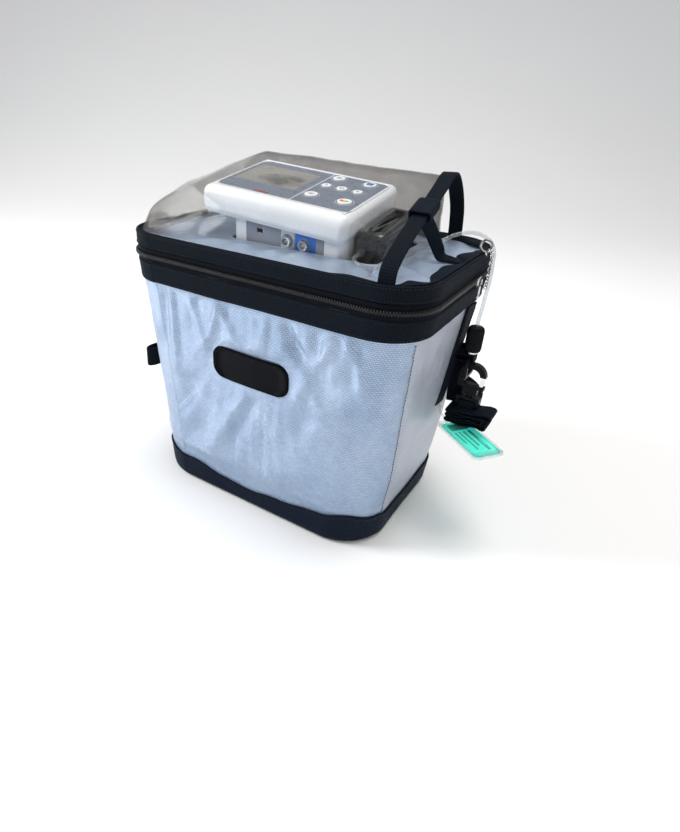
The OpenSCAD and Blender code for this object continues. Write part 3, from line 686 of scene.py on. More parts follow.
def rr_loop(x0, x1, y0, y1, r, ns=10, nc=8):
    pts = []
    cs = [(x1 - r, y0 + r, -90), (x1 - r, y1 - r, 0), (x0 + r, y1 - r, 90), (x0 + r, y0 + r, 180)]
    for i, (cx, cy, a0) in enumerate(cs):
        for k in range(nc + 1):
            a = math.radians(a0 + 90 * k / nc)
            pts.append((cx + r * math.cos(a), cy + r * math.sin(a)))
        nx, ny, na = cs[(i + 1) % 4]
        a = math.radians(na)
        q = (nx + r * math.cos(a), ny + r * math.sin(a))
        p = pts[-1]
        for k in range(1, ns):
            pts.append((p[0] + (q[0] - p[0]) * k / ns, p[1] + (q[1] - p[1]) * k / ns))
    return pts

# device frame
DO = np.array([-15.2, 6.3, 299.2])
DR = (Matrix.Rotation(math.radians(1.9), 3, "Z") @ Matrix.Rotation(math.radians(4.1), 3, "Y") @ Matrix.Rotation(math.radians(8.5), 3, "X"))
DRn = np.array(DR)
def dev(p):
    return DO + DRn @ np.asarray(p, float)
def devs(P):
    return DO + np.asarray(P, float) @ DRn.T

# ------------------------------------------------------------------ oxygen tube
tin = [[65, -31, 256], [66, -40, 255.5], [71, -49.5, 255], [80, -55.5, 254.5], [90, -52.5, 254], [98, -38, 254.5], [103, -14, 256], [107, 16, 259], [113, 40, 264], [124, 53, 269], [138, 55, 270], [148.5, 53, 266], [154, 52, 258], [155, 52.5, 248], [155.5, 53, 238],
       [155.5, 52, 228], [155.5, 49.5, 218], [156, 44.5, 208], [156.5, 38.5, 200], [157, 36, 193], [157, 36, 186]]
tube_path = cr(tin, 8)
tV, tF, tUV = sweep_data(tube_path, round_profile(1.75, 14), [0.31, 0.2, 0.93])
tube = mk("oxygen_tube", tV, tF, "clear", None, uv=tUV)
# sweep data for the bore inside the wall; no mesh is made from it
bV, bF, bUV = sweep_data(tube_path, round_profile(0.75, 8), [0.31, 0.2, 0.93])
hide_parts("tube_inner", "tube_outer")

# ------------------------------------------------------------------ bag skin
RIDGES = [  # (x0, z0, x1, z1, height, width) on the front face, mm
    (-90, 206, -87, 131, 2.2, 3.6), (-96, 204, -99, 150, -1.4, 5), (-67, 207, -51, 168, 1.8, 3.4), (-33, 208, -47, 164, 1.9, 3.2), (-34, 209, -12, 170, 1.7, 3.6),
    (-58, 206, -66, 176, -1.2, 4), (-20, 208, -30, 182, -1.2, 4), (38, 208, 49, 186, -2.4, 3.6), (87, 213, 51, 143, 2.2, 4.2), (94, 213, 125, 137, 3.0, 4.0), (100, 190, 118, 150, -1.2, 6),
    (45, 190, 79, 160, -2.3, 6), (-6, 123, -44, 55, 1.9, 5.5), (4, 118, -24, 62, -1.2, 6), (104, 132, 112, 104, -2.4, 12), (20, 205, 8, 176, 1.5, 4), (66, 210, 70, 176, -1.8, 4), (108, 208, 98, 170, -1.6, 4),
    (60, 120, 20, 70, -1.2, 9), (-110, 150, -112, 80, -1.2, 9), (30, 90, 70, 50, 1.0, 9), (72, 140, 96, 96, 1.3, 7), (-72, 120, -60, 66, -1.0, 8)]
def seg_g(x, z, r):
    x0, z0, x1, z1, h, w = r
    dx, dz = x1 - x0, z1 - z0
    L2 = dx * dx + dz * dz
    t = ((x - x0) * dx + (z - z0) * dz) / L2
    tc = min(1.0, max(0.0, t))
    d2 = (x - x0 - dx * tc) ** 2 + (z - z0 - dz * tc) ** 2
    ww = w * (0.75 + 0.5 * tc)
    return h * math.exp(-d2 / (2 * ww * ww)) * (1 - 0.35 * tc)

SEAM = [(214, -27), (165, -21.7), (138, -20), (107, -16), (69, -12), (45, -12.7), (10, -13)]
def seam_angle(z):
    for (za, aa), (zb, ab) in zip(SEAM[:-1], SEAM[1:]):
        if z >= zb:
            t = (z - zb) / (za - zb)
            return ab + (aa - ab) * min(1.2, t)
    return SEAM[-1][1]

def skin_disp(x, y, nx, ny, z, i=None):
    fade = min(1, max(0, (z - 26) / 18)) * min(1, max(0, (213 - z) / 9))
    if ny < -0.6:
        qx, qz = max(0, abs(x - 1) - 42) / 7, max(0, abs(z - 153) - 16) / 6
        fade *= 0.04 + 0.96 * min(1, qx * qx + qz * qz)
    front = max(0.0, -ny) ** 2
    side = max(0.0, nx) ** 2
    d = 0.0
    if front > 0.05 and abs(x) < 150:
        for r in RIDGES:
            d += 1.45 * front * seg_g(x, z, r)
    u = x if front > 0.4 or ny > 0.4 else y
    top = max(0.0, min(1.0, (z - 120) / 95))
    d += (0.45 + 0.9 * top) * fbm(x * 0.030 + 3, y * 0.030, z * 0.011, 3)
    d += 0.55 * top * noise.noise(Vector((x * 0.085, y * 0.085, z * 0.016 + 4)))
    d += 0.30 * fbm(x * 0.06, y * 0.06, z * 0.055 + 9, 3)
    if i is not None:
        # webbing holds the cloth down on the ends and the back
        d += (1.0 - 0.8 * nx * nx) * (1.0 if ny < 0.3 else 0.35) * sim_at(i, z)
    d += 0.9 * side * math.sin((y + 0.25 * (z - 100)) * 0.06) * (0.4 + 0.6 * top)
    d += (0.6 * front + 0.9 * side + 0.6 * max(0, ny)) * math.sin(math.pi * min(1, max(0, z / 231)))
    # the piped seam on each front corner pulls the cloth in a little and puckers it
    for sx in (1, -1):
        a = math.degrees(math.atan2(ny, nx * sx))
        if nx * sx > 0 and ny < 0.05:
            sa = seam_angle(z)
            e = (a - sa) * math.pi / 180 * brr(z)
            d -= 0.9 * math.exp(-(e / 2.2) ** 2)
            d += 0.35 * math.exp(-(abs(e) / 9.0)) * math.sin(z * 0.62 + 2 * math.sin(z * 0.11))
    # folds where the cloth gathers under the rim band
    g = max(0.0, (z - 188) / 34)
    d += 0.75 * g * g * math.sin(0.17 * (x - y) + 2.5 * noise.noise(Vector((x * 0.02, y * 0.02, 1))))
    return d * fade

SIM = {}
def simulate_skin():
    """The bag's outer cloth is cut 1.2 % fuller than the foam inside it and settles on it under gravity."""
    cols = list(range(0, NP_, 2))
    zs = np.linspace(24, 215, 46)
    nc, nr = len(cols), len(zs)
    V, NN = [], []
    for z in zs:
        P, N = outline(bw(z) + 0.8, bd(z) + 0.8, brr(z) + 0.4)
        for i in cols:
            V.append((P[i][0], P[i][1], z)); NN.append((N[i][0], N[i][1], 0))
    V = np.array(V) * S; NN = np.array(NN)
    me = bpy.data.meshes.new("cloth_run")
    me.from_pydata(V.tolist(), [], grid_faces(nr, nc, False, True, True))
    o = bpy.data.objects.new("cloth_run", me)
    SC.collection.objects.link(o)
    g = o.vertex_groups.new(name="pin")
    for j in range(nr):
        for k in range(nc):
            x, y, z = V[j * nc + k] / S
            wgt = 0.0
            if j < 2 or j > nr - 3: wgt = 1.0
            if y < -80 and abs(x - 1) < 44 and abs(z - 153) < 18: wgt = 1.0
            n = NN[j * nc + k]
            if n[1] < 0.05 and abs(n[0]) > 0.02:
                e = abs(math.degrees(math.atan2(n[1], abs(n[0]))) - seam_angle(z)) * math.pi / 180 * brr(z)
                if e < 3.2: wgt = max(wgt, 0.5)
            if wgt: g.add([j * nc + k], wgt, "REPLACE")
    # the foam it lies on
    Vi = []
    for z in np.linspace(10, 228, 30):
        P, N = outline(bw(z) - 3.0, bd(z) - 3.0, brr(z) - 1.5)
        Vi += [(P[i][0], P[i][1], z) for i in cols]
    mi = bpy.data.meshes.new("cloth_core")
    mi.from_pydata((np.array(Vi) * S).tolist(), [], grid_faces(30, nc, False, True, True))
    c = bpy.data.objects.new("cloth_core", mi)
    SC.collection.objects.link(c)
    cm = c.modifiers.new("hit", "COLLISION")
    c.collision.thickness_outer = 0.0006
    c.collision.cloth_friction = 8
    md = o.modifiers.new("cloth", "CLOTH")
    st = md.settings
    st.quality = 5
    st.mass = 0.18
    st.tension_stiffness = st.compression_stiffness = 12
    st.shear_stiffness = 6
    st.bending_stiffness = 0.35
    st.air_damping = 2.5
    st.vertex_group_mass = "pin"
    st.shrink_min = -0.012
    st.use_pressure = True
    st.uniform_pressure_force = 1.0
    md.collision_settings.distance_min = 0.0008
    md.point_cache.frame_start = 1
    md.point_cache.frame_end = 40
    for f in range(1, 25):
        SC.frame_set(f)
    ev = o.evaluated_get(bpy.context.evaluated_depsgraph_get())
    co = np.zeros(len(V) * 3)
    ev.to_mesh().vertices.foreach_get("co", co)
    ev.to_mesh_clear()
    D = ((co.reshape(-1, 3) - V) * NN).sum(1) / S
    D = np.nan_to_num(D).reshape(nr, nc)
    print("cloth raw mm", [round(float(v), 2) for v in np.percentile(D, [0, 25, 50, 75, 100])])
    D = 0.6 * D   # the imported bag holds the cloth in, so it keeps 0.6 of its free swell
    D -= np.median(D)
    SC.frame_set(1)
    bpy.data.objects.remove(o); bpy.data.objects.remove(c)
    bpy.data.meshes.remove(me); bpy.data.meshes.remove(mi)
    return D
def sim_at(i, z):
    D = SIM.get("D")
    if D is None: return 0.0
    nr, nc = D.shape
    fz = min(nr - 1.001, max(0.0, (z - 24) / (215 - 24) * (nr - 1)))
    fi = (i / 2.0) % nc
    j, k = int(fz), int(fi)
    a, b = fz - j, fi - k
    k2 = (k + 1) % nc
    return float((D[j, k] * (1 - b) + D[j, k2] * b) * (1 - a) + (D[j + 1, k] * (1 - b) + D[j + 1, k2] * b) * a)

def skin_uv(i, z):
    return (S_REF[i], z)

def bag_skin():
    zs = list(np.linspace(2.3, 16, 4)) + list(np.linspace(19, 231, 68))
    V, UV = [], []
    for z in zs:
        P, N = outline(bw(z), bd(z), brr(z))
        for i in range(NP_):
            d = skin_disp(P[i][0], P[i][1], N[i][0], N[i][1], z, i) if 14 < z < 230.5 else 0
            V.append((P[i][0] + N[i][0] * d, P[i][1] + N[i][1] * d, z)); UV.append(skin_uv(i, z))
    no = len(zs)
    zi = list(np.linspace(231, 16, 24)) + [13.2, 12.85]
    for k, z in enumerate(zi):
        off = -10.5 if z > 14 else (-11.3 if z > 13 else -14)
        P, N = outline(bw(z) + 2 * off, bd(z) + 2 * off, brr(z) + off)
        for i in range(NP_):
            d = 0.8 * fbm(P[i][0] * 0.02, P[i][1] * 0.02, z * 0.02 + 30, 3) if 20 < z < 222 else 0
            V.append((P[i][0] - N[i][0] * abs(d) * 0.5, P[i][1] - N[i][1] * abs(d) * 0.5, z)); UV.append(skin_uv(i, z + 300))
    R = no + len(zi)
    F = grid_faces(R, NP_, False, True, False)
    F += [tuple(range(NP_ - 1, -1, -1)), tuple((R - 1) * NP_ + k for k in range(NP_))]
    o = mk("bag_skin", V, F, "silver", "bag", uv=UV, repl=("outer_shell", "foam_insulation", "inner_liner"), slot="silver_fabric")
    o.data.materials.append(M["liner"]); o.data.materials.append(M["silver_side"])
    for p in o.data.polygons:
        row = p.vertices[0] // NP_
        if min(v // NP_ for v in p.vertices) >= no - 1:
            p.material_index = 1
        else:
            n = p.normal
            c = p.center
            nx, ny = n[0], n[1]
            a = math.degrees(math.atan2(c[1] / S + (bd(c[2] / S) / 2 - brr(c[2] / S)), abs(c[0]) / S - (bw(c[2] / S) / 2 - brr(c[2] / S))))
            # side-panel faces take the greyer copy of the fabric: painted shade
            if c[1] > -bd(120) * S / 2 * 0.98 and a > seam_angle(c[2] / S) and abs(c[0]) / S > bw(c[2] / S) / 2 - brr(c[2] / S):
                p.material_index = 2
    return o
import time
t0 = time.time()
SIM["D"] = simulate_skin()
print("cloth run", round(time.time() - t0, 1), "s", float(SIM["D"].min()), float(SIM["D"].max()), float(SIM["D"].std()))
skin = bag_skin()

def seam_pts(sx, off=0.0, da=0.0):
    P, N = [], []
    for z in np.linspace(29, 212, 120):
        a = math.radians(seam_angle(z) + da)
        cx, cy = bw(z) / 2 - brr(z), -(bd(z) / 2 - brr(z))
        n = (math.cos(a) * sx, math.sin(a))
        d = skin_disp(cx * sx + brr(z) * n[0], cy + brr(z) * n[1], n[0], n[1], z) + off
        P.append((cx * sx + (brr(z) + d) * n[0], cy + (brr(z) + d) * n[1], z)); N.append((n[0], n[1], 0.05))
    return P, N
for sx, nm in ((1, "right"), (-1, "left")):
    P, N = seam_pts(sx, 0.05)
    Pa = np.array(P)
    for _ in range(14):
        Pa[1:-1] = 0.5 * Pa[1:-1] + 0.25 * (Pa[:-2] + Pa[2:])
    P = [tuple(0.4 * np.array(p) + 0.6 * q) for p, q in zip(P, Pa)]
    stitch_run("seam_stitches_" + nm, P, N, "thread_dark", "bag", pitch=3.2, length=2.4, r=0.30, lift=0.25)

# ------------------------------------------------------------------ boot
def boot_wave(x, y):
    v = 0.0
    if y < -60:
        v += -9.0 * math.exp(-((x + 5) / 48.0) ** 2) + 7.0 * math.exp(-((x - 106) / 20.0) ** 2) + 3.0 * math.exp(-((x + 112) / 16.0) ** 2)
    v += 1.1 * math.sin(x * 0.11 + y * 0.07) * math.sin(x * 0.031)
    return v
def boot():
    prof = [(29, 0.25), (29.4, 0.9), (29.3, 1.7), (28.6, 2.25), (27.4, 2.3), (26.6, 1.75), (24, 1.8), (20, 1.85), (16, 1.95), (12, 2.0), (8, 1.95), (5, 1.6), (3, 0.9), (1.6, -0.2), (0.6, -1.8), (0.1, -3.8), (0, -7)]
    V, UV, FI = [], [], []
    base = S_REF
    for z, off in prof:
        P, N = outline(bw(z) + 2 * off, bd(z) + 2 * off, brr(z) + off)
        for i in range(NP_):
            dz = boot_wave(P[i][0], P[i][1]) * max(0, (z - 3) / 26) - 2
            if z < 3: dz = 0
            lift = max(0, 1.6 * noise.noise(Vector((P[i][0] * 0.03, P[i][1] * 0.03, 5)))) * (1 if z < 3 and z > 0.05 else 0)
            b = 0.5 * fbm(P[i][0] * 0.03, P[i][1] * 0.03, z * 0.05 + 12, 2) if 3 < z < 25 else 0
            rib = 0.22 * math.sin(base[i] * 2 * math.pi / 4.2) if 5 < z < 26 else 0
            V.append((P[i][0] + N[i][0] * (b + rib), P[i][1] + N[i][1] * (b + rib), max(0, z + dz * min(1, z / 6) + lift))); UV.append((base[i], z))
    R = len(prof)
    # inner wall and floor close the cup under the skin
    for z, off in ((24, 0.12), (8, 0.12), (2.0, -1.0)):
        P, N = outline(bw(z) + 2 * off, bd(z) + 2 * off, brr(z) + off)
        FI.append([(P[i][0], P[i][1], z + (boot_wave(P[i][0], P[i][1]) - 2 if z > 20 else 0)) for i in range(NP_)])
    V2 = FI[2] + FI[1] + FI[0] + V
    U2 = [(base[i], 0) for _ in range(3) for i in range(NP_)] + UV
    F = grid_faces(R + 3, NP_, False, True, True)
    F += [tuple(range(NP_)), tuple((R + 2) * NP_ + k for k in range(NP_ - 1, -1, -1))]
    return mk("boot_fabric", V2, F, "boot", "bag", uv=U2, repl=("base_boot",), slot="black_webbing")
boot()

# ------------------------------------------------------------------ rim bands and zip
def band_wave(a, b):
    def f(i, s, z, off):
        n = noise.noise(Vector((s * 0.022 + a, 0.3, b)))
        n2 = noise.noise(Vector((s * 0.10 + a, z * 0.05, b + 4)))
        return 0.35 * n + 0.22 * n2, 0.7 * n + 0.25 * math.sin(s * 0.045 + b)
    return f
def tape_cols(z0, z1, o0, o1, n):
    return tape_prof(z0, z1, o0, o1, n, 0.7)
ring("lower_band", tape_cols(212.8, 230.8, 0.12, 1.9, 14), "web", "bag", taper=True, extra=band_wave(1, 2), repl=("lower_rim_band",), slot="black_webbing")
ring("upper_band", tape_prof(243.4, 257, -1.4, 1.9, 12, 1.3), "web", "lid", taper=False, extra=band_wave(7, 5), repl=("upper_rim_band",), slot="black_webbing")

def zip_row(name, sgn, body, node):
    z0, z1 = (231.0, 235.9) if sgn < 0 else (238.1, 243.2)
    def ex(i, s, z, off):
        return 0.18 * noise.noise(Vector((s * 0.05, z * 0.1, 2 + sgn))), 0
    pr = tape_prof(z0, z1, -2.0, 1.15, 5, 0.5)
    o = ring(name, pr, "tape", body, taper=False, extra=ex, repl=(node,), slot="black_webbing")
    # coil: one small hooked tooth every 1.5 mm round the run
    P, N = outline(297 + 2 * 2.4, 198 + 2 * 2.4, 42.4)
    PP = np.vstack([P, P[:1]])
    s = np.concatenate([[0], np.cumsum(np.linalg.norm(np.diff(PP, axis=0), axis=1))])
    NN = np.vstack([N, N[:1]])
    V, F, UV = [], [], []
    L = s[-1]
    cnt = int(L / 2.3)
    for q in range(cnt):
        t = (q + (0.5 if sgn > 0 else 0)) * L / cnt
        c = np.array([np.interp(t, s, PP[:, k]) for k in range(2)])
        n = np.array([np.interp(t, s, NN[:, k]) for k in range(2)]); n /= np.linalg.norm(n)
        tg = np.array([-n[1], n[0]])
        o0 = len(V)
        za, zb = (234.6, 237.5) if sgn < 0 else (239.4, 236.6)
        for (zz, dn, w, th) in ((za, -1.0, 0.55, 0.55), (za + (zb - za) * 0.35, 0.25, 0.62, 0.85), (za + (zb - za) * 0.85, 0.3, 0.7, 0.95), (zb + (zb - za) * 0.12, 0.0, 0.5, 0.6)):
            for (a, b) in ((-1, -1), (1, -1), (1, 1), (-1, 1)):
                p = c + tg * a * w + n * (dn + b * th)
                V.append((p[0], p[1], zz)); UV.append((t, zz))
        for r in range(3):
            for k in range(4):
                f = (o0 + r * 4 + k, o0 + r * 4 + (k + 1) % 4, o0 + (r + 1) * 4 + (k + 1) % 4, o0 + (r + 1) * 4 + k)
                F.append(f if sgn < 0 else f[::-1])
        F += [tuple(o0 + k for k in ((3, 2, 1, 0) if sgn < 0 else (0, 1, 2, 3))), tuple(o0 + 12 + k for k in ((0, 1, 2, 3) if sgn < 0 else (3, 2, 1, 0)))]
    mk(name + "_coil", V, F, "tooth", body, uv=UV, slot="black_plastic")
    return o
zip_row("lower_tape", -1, "bag", "lower_zip_tape")
zip_row("upper_tape", 1, "lid", "upper_zip_tape")

def ring_line(z, off, taper):
    if taper: P, N = outline(bw(z) + 2 * off, bd(z) + 2 * off, brr(z) + off)
    else: P, N = outline(297 + 2 * off, 198 + 2 * off, 40 + off)
    P = np.vstack([P, P[:1]]); N = np.vstack([N, N[:1]])
    return np.column_stack([P, np.full(len(P), z)]), np.column_stack([N, np.zeros(len(N))])
for z, off, tp, body, nm in ((215.0, 1.95, True, "bag", "a"), (228.8, 1.95, True, "bag", "b"), (245.3, 1.95, False, "lid", "c"), (255.2, 1.95, False, "lid", "d")):
    P, N = ring_line(z, off, tp)
    stitch_run("band_stitches_" + nm, P, N, "thread_black", body, pitch=2.9, length=1.9, r=0.26, lift=0.1)

# ------------------------------------------------------------------ lid cloth round the unit
def lid_panel():
    sp = _spec(60, 36, 16)
    n = len(sp)
    O, ON = outline(293.4, 194.4, 38.2, sp)
    # inner edge: the mouth of the pouch, in the unit's own frame
    I = np.array(outline(153, 103, 12, sp)[0])
    rows = 22
    V, UV = [], []
    mouth = []
    for i in range(n):
        p = dev((I[i][0] + 26.5, I[i][1] - 2, -47.6))
        # slide along the unit's own vertical to the lid's level
        k = (251.6 - p[2]) / DRn[2][2]
        mouth.append(p + DRn[:, 2] * k)
    for j in range(rows + 1):
        t = j / rows
        for i in range(n):
            a = np.array([O[i][0], O[i][1]]); b = mouth[i][:2]
            p = a + (b - a) * t
            s = S_TOP[0] if False else i * 3.0
            d = np.linalg.norm(b - a)
            g = math.sin(math.pi * min(1, t)) 
            ph = 0.16 * (a[0] + a[1]) + 2.0 * noise.noise(Vector((a[0] * 0.02, a[1] * 0.02, 2)))
            z = 251.6 + g * (1.5 * math.sin(ph) + 2.4 * fbm(p[0] * 0.022, p[1] * 0.022, 3, 3)) + 1.0 * g
            z += 3.6 * max(0, 1 - t * 7) ** 2
            V.append((p[0], p[1], min(z, 257.5))); UV.append((p[0], p[1]))
    top = (rows + 1) * n
    for j in range(rows + 1):
        for i in range(n):
            v = V[j * n + i]
            V.append((v[0], v[1], v[2] - 1.5)); UV.append((v[0] + 500, v[1]))
    F = grid_faces(rows + 1, n, False, True, False)
    F2 = [tuple(top + k for k in f[::-1]) for f in F]
    side = [(i, top + i, top + (i + 1) % n, (i + 1) % n) for i in range(n)]
    side2 = [(rows * n + i, rows * n + (i + 1) % n, top + rows * n + (i + 1) % n, top + rows * n + i) for i in range(n)]
    return mk("lid_cloth", V, F + F2 + side + side2, "silver_lid", "lid", uv=UV, repl=("lid_panel",), slot="silver_fabric")
lid_cloth = lid_panel()

def pouch():
    V, UV = [], []
    loop = np.array(rr_loop(-49.4, 74.4, -53.4, 49.4, 10, 22, 8))
    n = len(loop)
    zs = list(np.linspace(-52.6, -84, 16)) + [-88.5, -91.6, -93.4, -94.1]
    ins = [0] * 16 + [0.7, 2.4, 5.5, 12]
    c = loop.mean(0)
    def lay(zs, ins, extra):
        for z, q in zip(zs, ins):
            for i in range(n):
                d = loop[i] - c; r = np.linalg.norm(d)
                b = 0.9 * abs(fbm(loop[i][0] * 0.03, loop[i][1] * 0.03, z * 0.03 + 4, 3)) * (1 if z > -88 and z < -54 else 0)
                p = c + d * (1 - (q + extra) / r) + d / r * b * (0 if extra else 1)
                V.append(dev((p[0], p[1], z + (1.9 if extra else 0)))); UV.append((i * 3.0, z))
    lay(zs, ins, 0)
    m = len(zs)
    lay(zs[::-1][0:], ins[::-1][0:], 2.0)
    R = 2 * m
    F = grid_faces(m, n, False, True, True)
    F += [tuple((m - 1) * n + k for k in range(n))]
    F2 = grid_faces(m, n, False, True, True)
    F += [tuple(m * n + k for k in f) for f in F2]
    F += [tuple(m * n + k for k in range(n - 1, -1, -1))]
    F += [(i, (i + 1) % n, (2 * m - 1) * n + (i + 1) % n, (2 * m - 1) * n + i) for i in range(n)]
    return mk("pouch_cloth", V, F, "silver_lid", "lid", uv=UV, repl=("lid_pouch",), slot="silver_fabric")
pouch()

# scalloped black binding that shows inside the front-right corner of the lid
def scallop():
    P, N = outline(293.0, 194.0, 38)
    idx = [i for i in range(NP_)]
    V, F, UV = [], [], []
    m = 9
    for i in idx:
        s = S_TOP[i]
        q_ = max(0.0, min(1.0, (P[i][0] - 62) / 40)) * (1 if P[i][1] < 60 else 0.4)
        w = 3.2 + 0.7 * math.sin(s * 0.105) + q_ * (9 + 2.6 * math.sin(s * 0.105) + 2.2 * math.sin(s * 0.173 + 1))
        for k in range(m):
            t = k / (m - 1)
            q = P[i] - N[i] * (0.3 + w * t)
            z = 256.6 - 2.2 * t + 0.8 * math.sin(s * 0.105) * t + (0.5 if k < m - 1 else -0.6)
            V.append((q[0], q[1], z)); UV.append((s, w * t))
    n = len(idx)
    top = len(V)
    for k in range(top):
        v = V[k]; V.append((v[0], v[1], v[2] - 1.2)); UV.append(UV[k])
    A = grid_faces(n, m, True, False, True)
    F = A + [tuple(top + j for j in f[::-1]) for f in A]
    for i in range(n):
        j = (i + 1) % n
        F.append((i * m, top + i * m, top + j * m, j * m)); F.append((i * m + m - 1, j * m + m - 1, top + j * m + m - 1, top + i * m + m - 1))
    return mk("lid_binding", V, F, "web", "lid", uv=UV, slot="black_webbing")
scallop()

# ------------------------------------------------------------------ clear hood
def hood():
    import bmesh
    bm = bmesh.new()
    base = rr_loop(-138, 96, -92, 92, 16, 4, 8)
    for z in (252.0, 254.0):
        for p in base: bm.verts.new((p[0], p[1], z))
    for p in ((-127, -81, 275), (-123, -77, 280.5), (-92, -64, 302.5), (74, -67, 292), (91, -70, 284), (-108, 76, 318), (92, 80, 313), (-118, 84, 308)):
        bm.verts.new(p)
    bm.verts.ensure_lookup_table()
    bmesh.ops.convex_hull(bm, input=bm.verts)
    from mathutils.bvhtree import BVHTree
    tree = BVHTree.FromBMesh(bm)
    sp = _spec(44, 34, 10)
    O, N = outline(234, 184, 16, sp)
    O = O + np.array([-21, 0])
    n = len(O)
    c = Vector((-18, 4, 253.0))
    rows = 46
    G = np.zeros((rows, n, 3))
    for j in range(rows):
        a = (j / (rows)) ** 0.9 * math.radians(89)
        for i in range(n):
            d = Vector((O[i][0] - c[0], O[i][1] - c[1], 0)) * math.cos(a) + Vector((0, 0, 75)) * math.sin(a)
            if j == 0:
                G[j, i] = (O[i][0], O[i][1], 252.2)
                continue
            h = tree.ray_cast(c, d.normalized())[0]
            G[j, i] = h if h is not None else G[j - 1, i]
    pole = np.array(tree.ray_cast(c, Vector((0, 0, 1)))[0])
    bm.free()
    # round the creases a little, as heated vinyl
    for _ in range(3):
        A = G.copy()
        A[1:-1] = 0.5 * G[1:-1] + 0.125 * (G[:-2] + G[2:] + np.roll(G, 1, 1)[1:-1] + np.roll(G, -1, 1)[1:-1])
        G[2:-1] = A[2:-1]
    def puff(p, j):
        f = min(1, j / 5)
        return f * (1.5 * fbm(p[0] * 0.016, p[1] * 0.016, p[2] * 0.03, 3) + 0.5 * noise.noise(Vector((p[0] * 0.05, p[1] * 0.05, p[2] * 0.06))))
    cc = np.array([-18, 4, 262.0])
    V, UV = [], []
    for shell in (0, 1):
        for j in range(rows):
            for i in range(n):
                p = G[j, i]
                d = p - cc; d[2] *= 1.6
                d /= np.linalg.norm(d)
                if j < 2: d = np.array([N[i][0], N[i][1], 0.0])
                q = p + d * (puff(p, j) - 0.5 - (1.1 if shell else 0))
                V.append(q); UV.append((i * 5.0, j * 5.0))
        V.append(pole - np.array([0, 0, 0.6 + (1.1 if shell else 0)])); UV.append((0, 240))
    m = rows * n + 1
    F = []
    F += grid_faces(rows, n, False, True, False)
    F += [((rows - 1) * n + i, (rows - 1) * n + (i + 1) % n, rows * n) for i in range(n)]
    F += [tuple(m + k for k in f[::-1]) for f in list(F)]
    F += [(i, m + i, m + (i + 1) % n, (i + 1) % n) for i in range(n)]
    V = [np.array(v) for v in V]
    # the tube leaves under a notch in the front right of the hem
    for k, v in enumerate(V):
        if v[0] > 84 and -64 < v[1] < -22 and v[2] < 259:
            v[2] = max(v[2], 258.6 - 0.02 * (v[1] + 43) ** 2 * 0.3)
    o = mk("hood_vinyl", V, F, "hood", "cover", uv=UV, repl=("clear_cover",), slot="clear_plastic")
    # welded hem: a narrow milky bead round the base
    P = np.array([(O[i][0], O[i][1], 253.0 if not (O[i][0] > 84 and -64 < O[i][1] < -22) else 259.0) for i in range(n)] )
    hv, hf, huv = sweep_data(P, round_profile(0.9, 8), [0, 0, 1], closed=True)
    mk("hood_hem", hv, hf, "clear", "cover", uv=huv, slot="clear_plastic")
    return o
hood_o = hood()

# ------------------------------------------------------------------ handles
hp = cr([[119, -93.5, 251.5], [119, -93.5, 258], [118.5, -88.5, 269], [117, -66, 282], [113.5, -33, 293], [110.5, -5, 300], [108.5, 20, 309], [107, 38, 316.5], [106, 50, 317.5], [105.5, 63, 310], [105, 76, 298], [104.5, 88, 282], [104.5, 93.5, 264], [104.5, 94.5, 251.5]], 8)
m = Multi()
m.add(*sweep_data(hp, flat_profile(13, 1.9), [0.966, 0.26, 0], wobble=0.35, wf=0.06, seed=2))
m.make("carry_handle_webbing", "web", "lid", ("carry_handle",), "black_webbing")
sp_ = cr([[146, 14, 253.4], [138, 14, 253.8], [128, 14, 254.3], [121.5, 11, 257], [118, 3, 268], [115.5, -7, 280], [113.5, -15, 288], [112.5, -18.5, 293.5]], 8)
m = Multi()
m.add(*sweep_data(sp_, flat_profile(13, 1.9), [0.35, 1, 0], wobble=0.3, wf=0.06, seed=5))
WR = np.array(Matrix.Rotation(math.radians(6.4), 3, "Z") @ Matrix.Rotation(math.radians(2.1), 3, "Y") @ Matrix.Rotation(math.radians(14.3), 3, "X"))
WO = np.array([112, -19, 296.7])
def wrap():
    V, UV = [], []
    ys = np.linspace(-13, 13, 22)
    lo = [(p[0], p[1]) for p in rr_loop(-9.2, 9.2, -3.8, 4.6, 2.6, 8, 5)]
    li = [(p[0], p[1]) for p in rr_loop(-7.9, 7.9, -2.6, 3.4, 1.4, 8, 5)]
    n = len(lo)
    seq = [(y, lo, 0) for y in ys] + [(y, li, 1) for y in ys[::-1]]
    for y, lp, inner in seq:
        for k, p in enumerate(lp):
            w = 0 if inner else 0.35 * noise.noise(Vector((p[0] * 0.15, y * 0.12, p[1] * 0.15))) + (0.25 * math.sin(y * 1.9) if abs(y) < 12 else -0.3)
            r = math.hypot(p[0], p[1]) or 1
            V.append(WO + WR @ np.array([p[0] * (1 + w / r), y, p[1] * (1 + w / r)])); UV.append((y, k * 1.1))
    F = grid_faces(len(seq), n, True, True, True)
    return V, F, UV
m.add(*wrap())
side_o = m.make("side_strap_webbing", "web_navy", "lid", ("side_strap",), "black_webbing")
P = [WO + WR @ np.array([x, 11.2, 4.75]) for x in np.linspace(-7.5, 7.5, 12)]
stitch_run("wrap_stitches_a", P, [WR @ np.array([0, 0, 1.0])] * 12, "thread_black", "lid", pitch=2.2, length=1.5, r=0.24)
P = [WO + WR @ np.array([x, -11.2, 4.75]) for x in np.linspace(-7.5, 7.5, 12)]
stitch_run("wrap_stitches_b", P, [WR @ np.array([0, 0, 1.0])] * 12, "thread_black", "lid", pitch=2.2, length=1.5, r=0.24)

